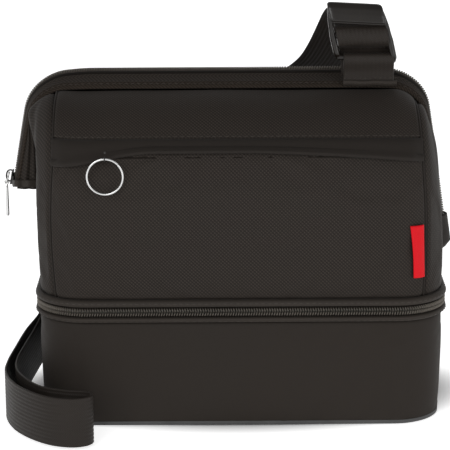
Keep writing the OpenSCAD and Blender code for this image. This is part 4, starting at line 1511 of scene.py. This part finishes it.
GRIP_ROUTE = [((81, -13, 279.5), ACROSS), ((81.4, -16.2, 276), ACROSS), ((82.3, -19.6, 272.6), ACROSS),
              ((83.2, -24.8, 269.6), ACROSS), ((84.3, -27.0, 264.6), ACROSS), ((85.4, -26.2, 259.4), ACROSS),
              ((86, -22.2, 256.4), ACROSS), ((86.5, -18.2, 254), ACROSS), ((87.5, -16.2, 246), ACROSS),
              ((88, -15.8, 236), ACROSS)]


def strap():
    over, _, _ = lay_webbing("strap_over_web", OVER_ROUTE, 90)
    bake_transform(over)
    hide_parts("strap_over")
    loop, path, across = lay_webbing("strap_loop_web", LOOP_ROUTE, 420)
    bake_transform(loop)
    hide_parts("strap_loop")
    grip, _, _ = lay_webbing("strap_grip_web", GRIP_ROUTE, 80)
    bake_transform(grip)
    length = sum(np.linalg.norm(np.diff(curve_through([p for p, _ in r], 400), axis=0), axis=1).sum()
                 for r in (OVER_ROUTE, LOOP_ROUTE, GRIP_ROUTE))
    print(f"strap {length:.0f} mm")


strap()


# %% Tab, hem and rear anchor
def tab():
    """The short loop of webbing that holds the buckle's lower bar."""
    low, high = node_box("strap_tab")
    x, y = (low[0] + high[0]) / 2 - 1.0, (low[1] + high[1]) / 2
    top, foot = high[2] - 0.8, low[2]
    side = (high[1] - low[1]) / 2 - 0.8
    route = [(x, y - 0.85, foot), (x, y - 0.85, foot + 7), (x, y - 1.3, foot + 11), (x, y - side, foot + 16.5),
             (x, y - side, top - 2.6), (x, y - side * 0.55, top - 0.3), (x, y + side * 0.55, top - 0.3), (x, y + side, top - 2.6),
             (x, y + side, foot + 16.5), (x, y + 1.3, foot + 11), (x, y + 0.85, foot + 7), (x, y + 0.85, foot)]
    piece, _, _ = lay_webbing("strap_tab_web", [(p, ACROSS) for p in route], 90)
    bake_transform(piece)
    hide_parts("strap_tab")
    hem_low, hem_high = node_box("strap_hem")
    across = np.linspace(hem_low[0], hem_high[0], 40)
    path = np.stack([across, np.full(40, hem_low[1] + 1.2), 231.0 + 0.25 * np.sin(across * 0.35)], 1)
    roll = sweep("strap_hem_roll", path, np.tile([0.0, -0.92, -0.39], (40, 1)), np.tile([0, -0.39, 0.92], (40, 1)),
                 oval(2.6, 4.4, 12, 0.85), binding)
    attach(roll, "mouth_front")
    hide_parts("strap_hem")
    sewn = stitches("tab_stitches", [(np.stack([across[1:-1], np.full(38, low[1] + side - 1.0), np.full(38, 234.6)], 1), (0, -1, 0)),
                                     (path[1:-1] + [0, -1.3, 0.2], (0, -0.95, 0.3))], size=(2.2, 0.55, 0.5), pitch=3.2)
    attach(sewn, "mouth_front")


tab()


def rear_anchor():
    """A patch over the strap's sewn end, with two rows of stitches across it."""
    low, high = node_box("strap_patch_rear")
    x = np.linspace(low[0], high[0], 40)
    t = np.linspace(31, 39, 10)
    points = front(x[:, None], t[None, :], 2.3) * [1, -1, 1]
    piece = thicken(grid_mesh("rear_anchor_patch", points[::-1], binding), 1.4)
    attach(piece, "upper")
    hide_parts("strap_patch_rear")
    lines = []
    for t0 in (32.0, 38.0):
        lines.append((front(x[2:-2], t0, 2.4) * [1, -1, 1], (0, 0.8, 0.6)))
    sewn = stitches("rear_anchor_stitches", lines, size=(2.2, 0.55, 0.5), pitch=3.2)
    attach(sewn, "upper")


rear_anchor()


# %% [markdown]
# ## Buckle
# A ladder lock: two side rails, three bars and a thumb plate whose lip stands forward, all moulded in
# one. The rails bow forward at the lip, and every edge is rounded so that it draws a thin highlight.


# %% Ladder lock
def ladder_lock():
    low, high = node_box("buckle")
    x, y, foot = (low[0] + high[0]) / 2, node_box("strap_tab")[0][1] / 2 + node_box("strap_tab")[1][1] / 2, low[2]
    half = 21.2
    parts = []
    for side in (-1, 1):
        spine = curve_through([(side * (half - 1.8), 0.4, 0.6), (side * (half - 1.7), 0.9, 5), (side * (half - 1.7), 0.2, 14),
                               (side * (half - 1.7), -1.2, 24), (side * (half - 2.6), -2.4, 31), (side * (half - 4.0), -2.0, 38.5)], 40)
        tangent = unit(np.gradient(spine, axis=0))
        out = unit(np.cross(tangent, np.tile([1.0, 0, 0], (40, 1))))
        run = np.linspace(0, 1, 40)
        scale = 1 - 0.55 * np.exp(-((run / 0.05) ** 2)) - 0.4 * np.exp(-(((1 - run) / 0.05) ** 2))
        scale = scale * (1 + 0.45 * np.clip((0.55 - run) / 0.15, 0, 1))
        swell = 1 + 0.5 * np.exp(-(((run - 0.14) / 0.16) ** 2))
        ring = oval(1, 1, 14, 0.75)
        grid = (spine[:, None] + (ring[:, :1] * 3.4 * scale[:, None, None]) * np.array([1.0, 0, 0])
                + (ring[:, 1:] * 4.2 * (scale * swell)[:, None, None]) * out[:, None])
        parts.append((grid, False))

    def bar(z, depth, tall, y0=0.0):
        line = np.stack([np.linspace(-half + 1.5, half - 1.5, 12), np.full(12, y0), np.full(12, z)], 1)
        ring = oval(depth, tall, 14, 0.8)
        return (line[:, None] + ring[:, :1] * np.array([0, 1.0, 0]) + ring[:, 1:] * UP, False)

    parts += [bar(2.0, 3.8, 3.8), bar(17.4, 3.4, 4.4, -0.3)]
    plate = [(1.6, 37.0), (0.2, 39.8), (-2.6, 41.2), (-5.0, 40.6), (-6.8, 37.6), (-8.0, 33.6), (-8.8, 29.4), (-8.6, 27.2),
             (-7.2, 26.8), (-6.2, 28.2), (-5.2, 31.0), (-3.6, 34.0), (-0.8, 35.6)]
    outline = resample(np.array([(p[0], p[1], 0) for p in plate + plate[:1]]), 53)[:-1, :2]
    ends = np.array([-19.0, -18.8, -18.2, -17.2, -15.8])
    across = np.concatenate([ends, np.linspace(-14, 14, 21), -ends[::-1]])
    centre = outline.mean(0)
    grids = []
    for a in across:
        shape = centre + (outline - centre) * np.interp(abs(a), [15.8, 17.2, 18.2, 18.8, 19.0], [1, 0.97, 0.9, 0.78, 0.6])
        grids.append(np.stack([np.full(len(shape), a), shape[:, 0], shape[:, 1]], 1))
    parts.append((np.stack(grids), False))
    lip = np.stack([np.linspace(-18.0, 18.0, 12), np.full(12, -8.2), np.full(12, 27.9)], 1)
    ring = oval(2.4, 2.0, 12)
    parts.append((lip[:, None] + ring[:, :1] * np.array([0, 1.0, 0]) + ring[:, 1:] * UP, False))
    lean = Matrix(((1, 0, -0.22, -1.6), (0, 1, 0, 0), (-0.055, 0, 1, 0), (0, 0, 0, 1)))
    piece = assemble("ladder_lock", parts, acetal, Matrix.Translation((x, y, foot)) @ lean)
    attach(piece, "strap_buckle")
    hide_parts("buckle")


ladder_lock()

# %% [markdown]
# ## Inside
# Both compartments are lined with silver film over foam. The liners are thin tubs with soft crinkles,
# and the foam and boards are the frame's own shapes with their own finishes.


# %% Liners
def tub(name, out, z_floor, z_top, material, node, body, taper=0.0, facing=-1):
    """An open tub seen from inside."""
    count = 200
    rows = []
    for o, z in [(out - 6, z_floor), (out - 2.5, z_floor + 0.3), (out - 0.8, z_floor + 1.5), (out, z_floor + 4)] + [
            (out, z) for z in np.linspace(z_floor + 8, z_top, 22)]:
        points, normals = plan(count, o - taper * (1 - z / z_top))
        rows.append(raised(points, z))
    points = np.stack(rows, 1)
    wave = 0.35 * np.sin(np.linspace(0, 60 * math.pi, count))[:, None] * np.sin(np.linspace(0, 9, len(rows)))[None]
    points[..., :2] += plan(count)[1][:, None, :2] * wave[..., None]
    centre = points[:, 0].mean(0)
    inner = (points[:, :1] - centre) * 0.02 + centre
    points = np.concatenate([inner, points], 1)
    piece = grid_mesh(name, points[::-1], material, loop_u=True)
    thicken(piece, 0.7)
    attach(piece, body)
    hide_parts(node)
    return piece


liner_low, liner_high = node_box("lower_liner")
tub("liner_lower", liner_high[0] - HALF_W, liner_low[2] + 0.6, liner_high[2] + 1.5, liner_foil, "lower_liner", "root", 2.2)
liner_low, liner_high = node_box("upper_liner")
tub("liner_upper", -7.6, liner_low[2] + 0.9, BEND_Z, liner_foil, "upper_liner", "upper")

for name, material in (("base_board", board), ("divider_cover", nylon_inside), ("divider_foam", foam)):
    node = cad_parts[name]
    node.data.materials.clear()
    node.data.materials.append(material)
foam_low, foam_high = node_box("lower_foam")
tub("foam_lower", -3.6, foam_low[2] + 0.6, foam_high[2] - 1.0, foam, "lower_foam", "root", 1.6)
foam_low, foam_high = node_box("upper_foam")
tub("foam_upper", -5.8, foam_low[2] + 0.8, BEND_Z - 4, foam, "upper_foam", "upper")

# %% Visible size
visual_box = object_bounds()
print("size", [round(1000 * (b - a), 1) for a, b in zip(*visual_box)], "in", round(time.time() - started, 1), "s")
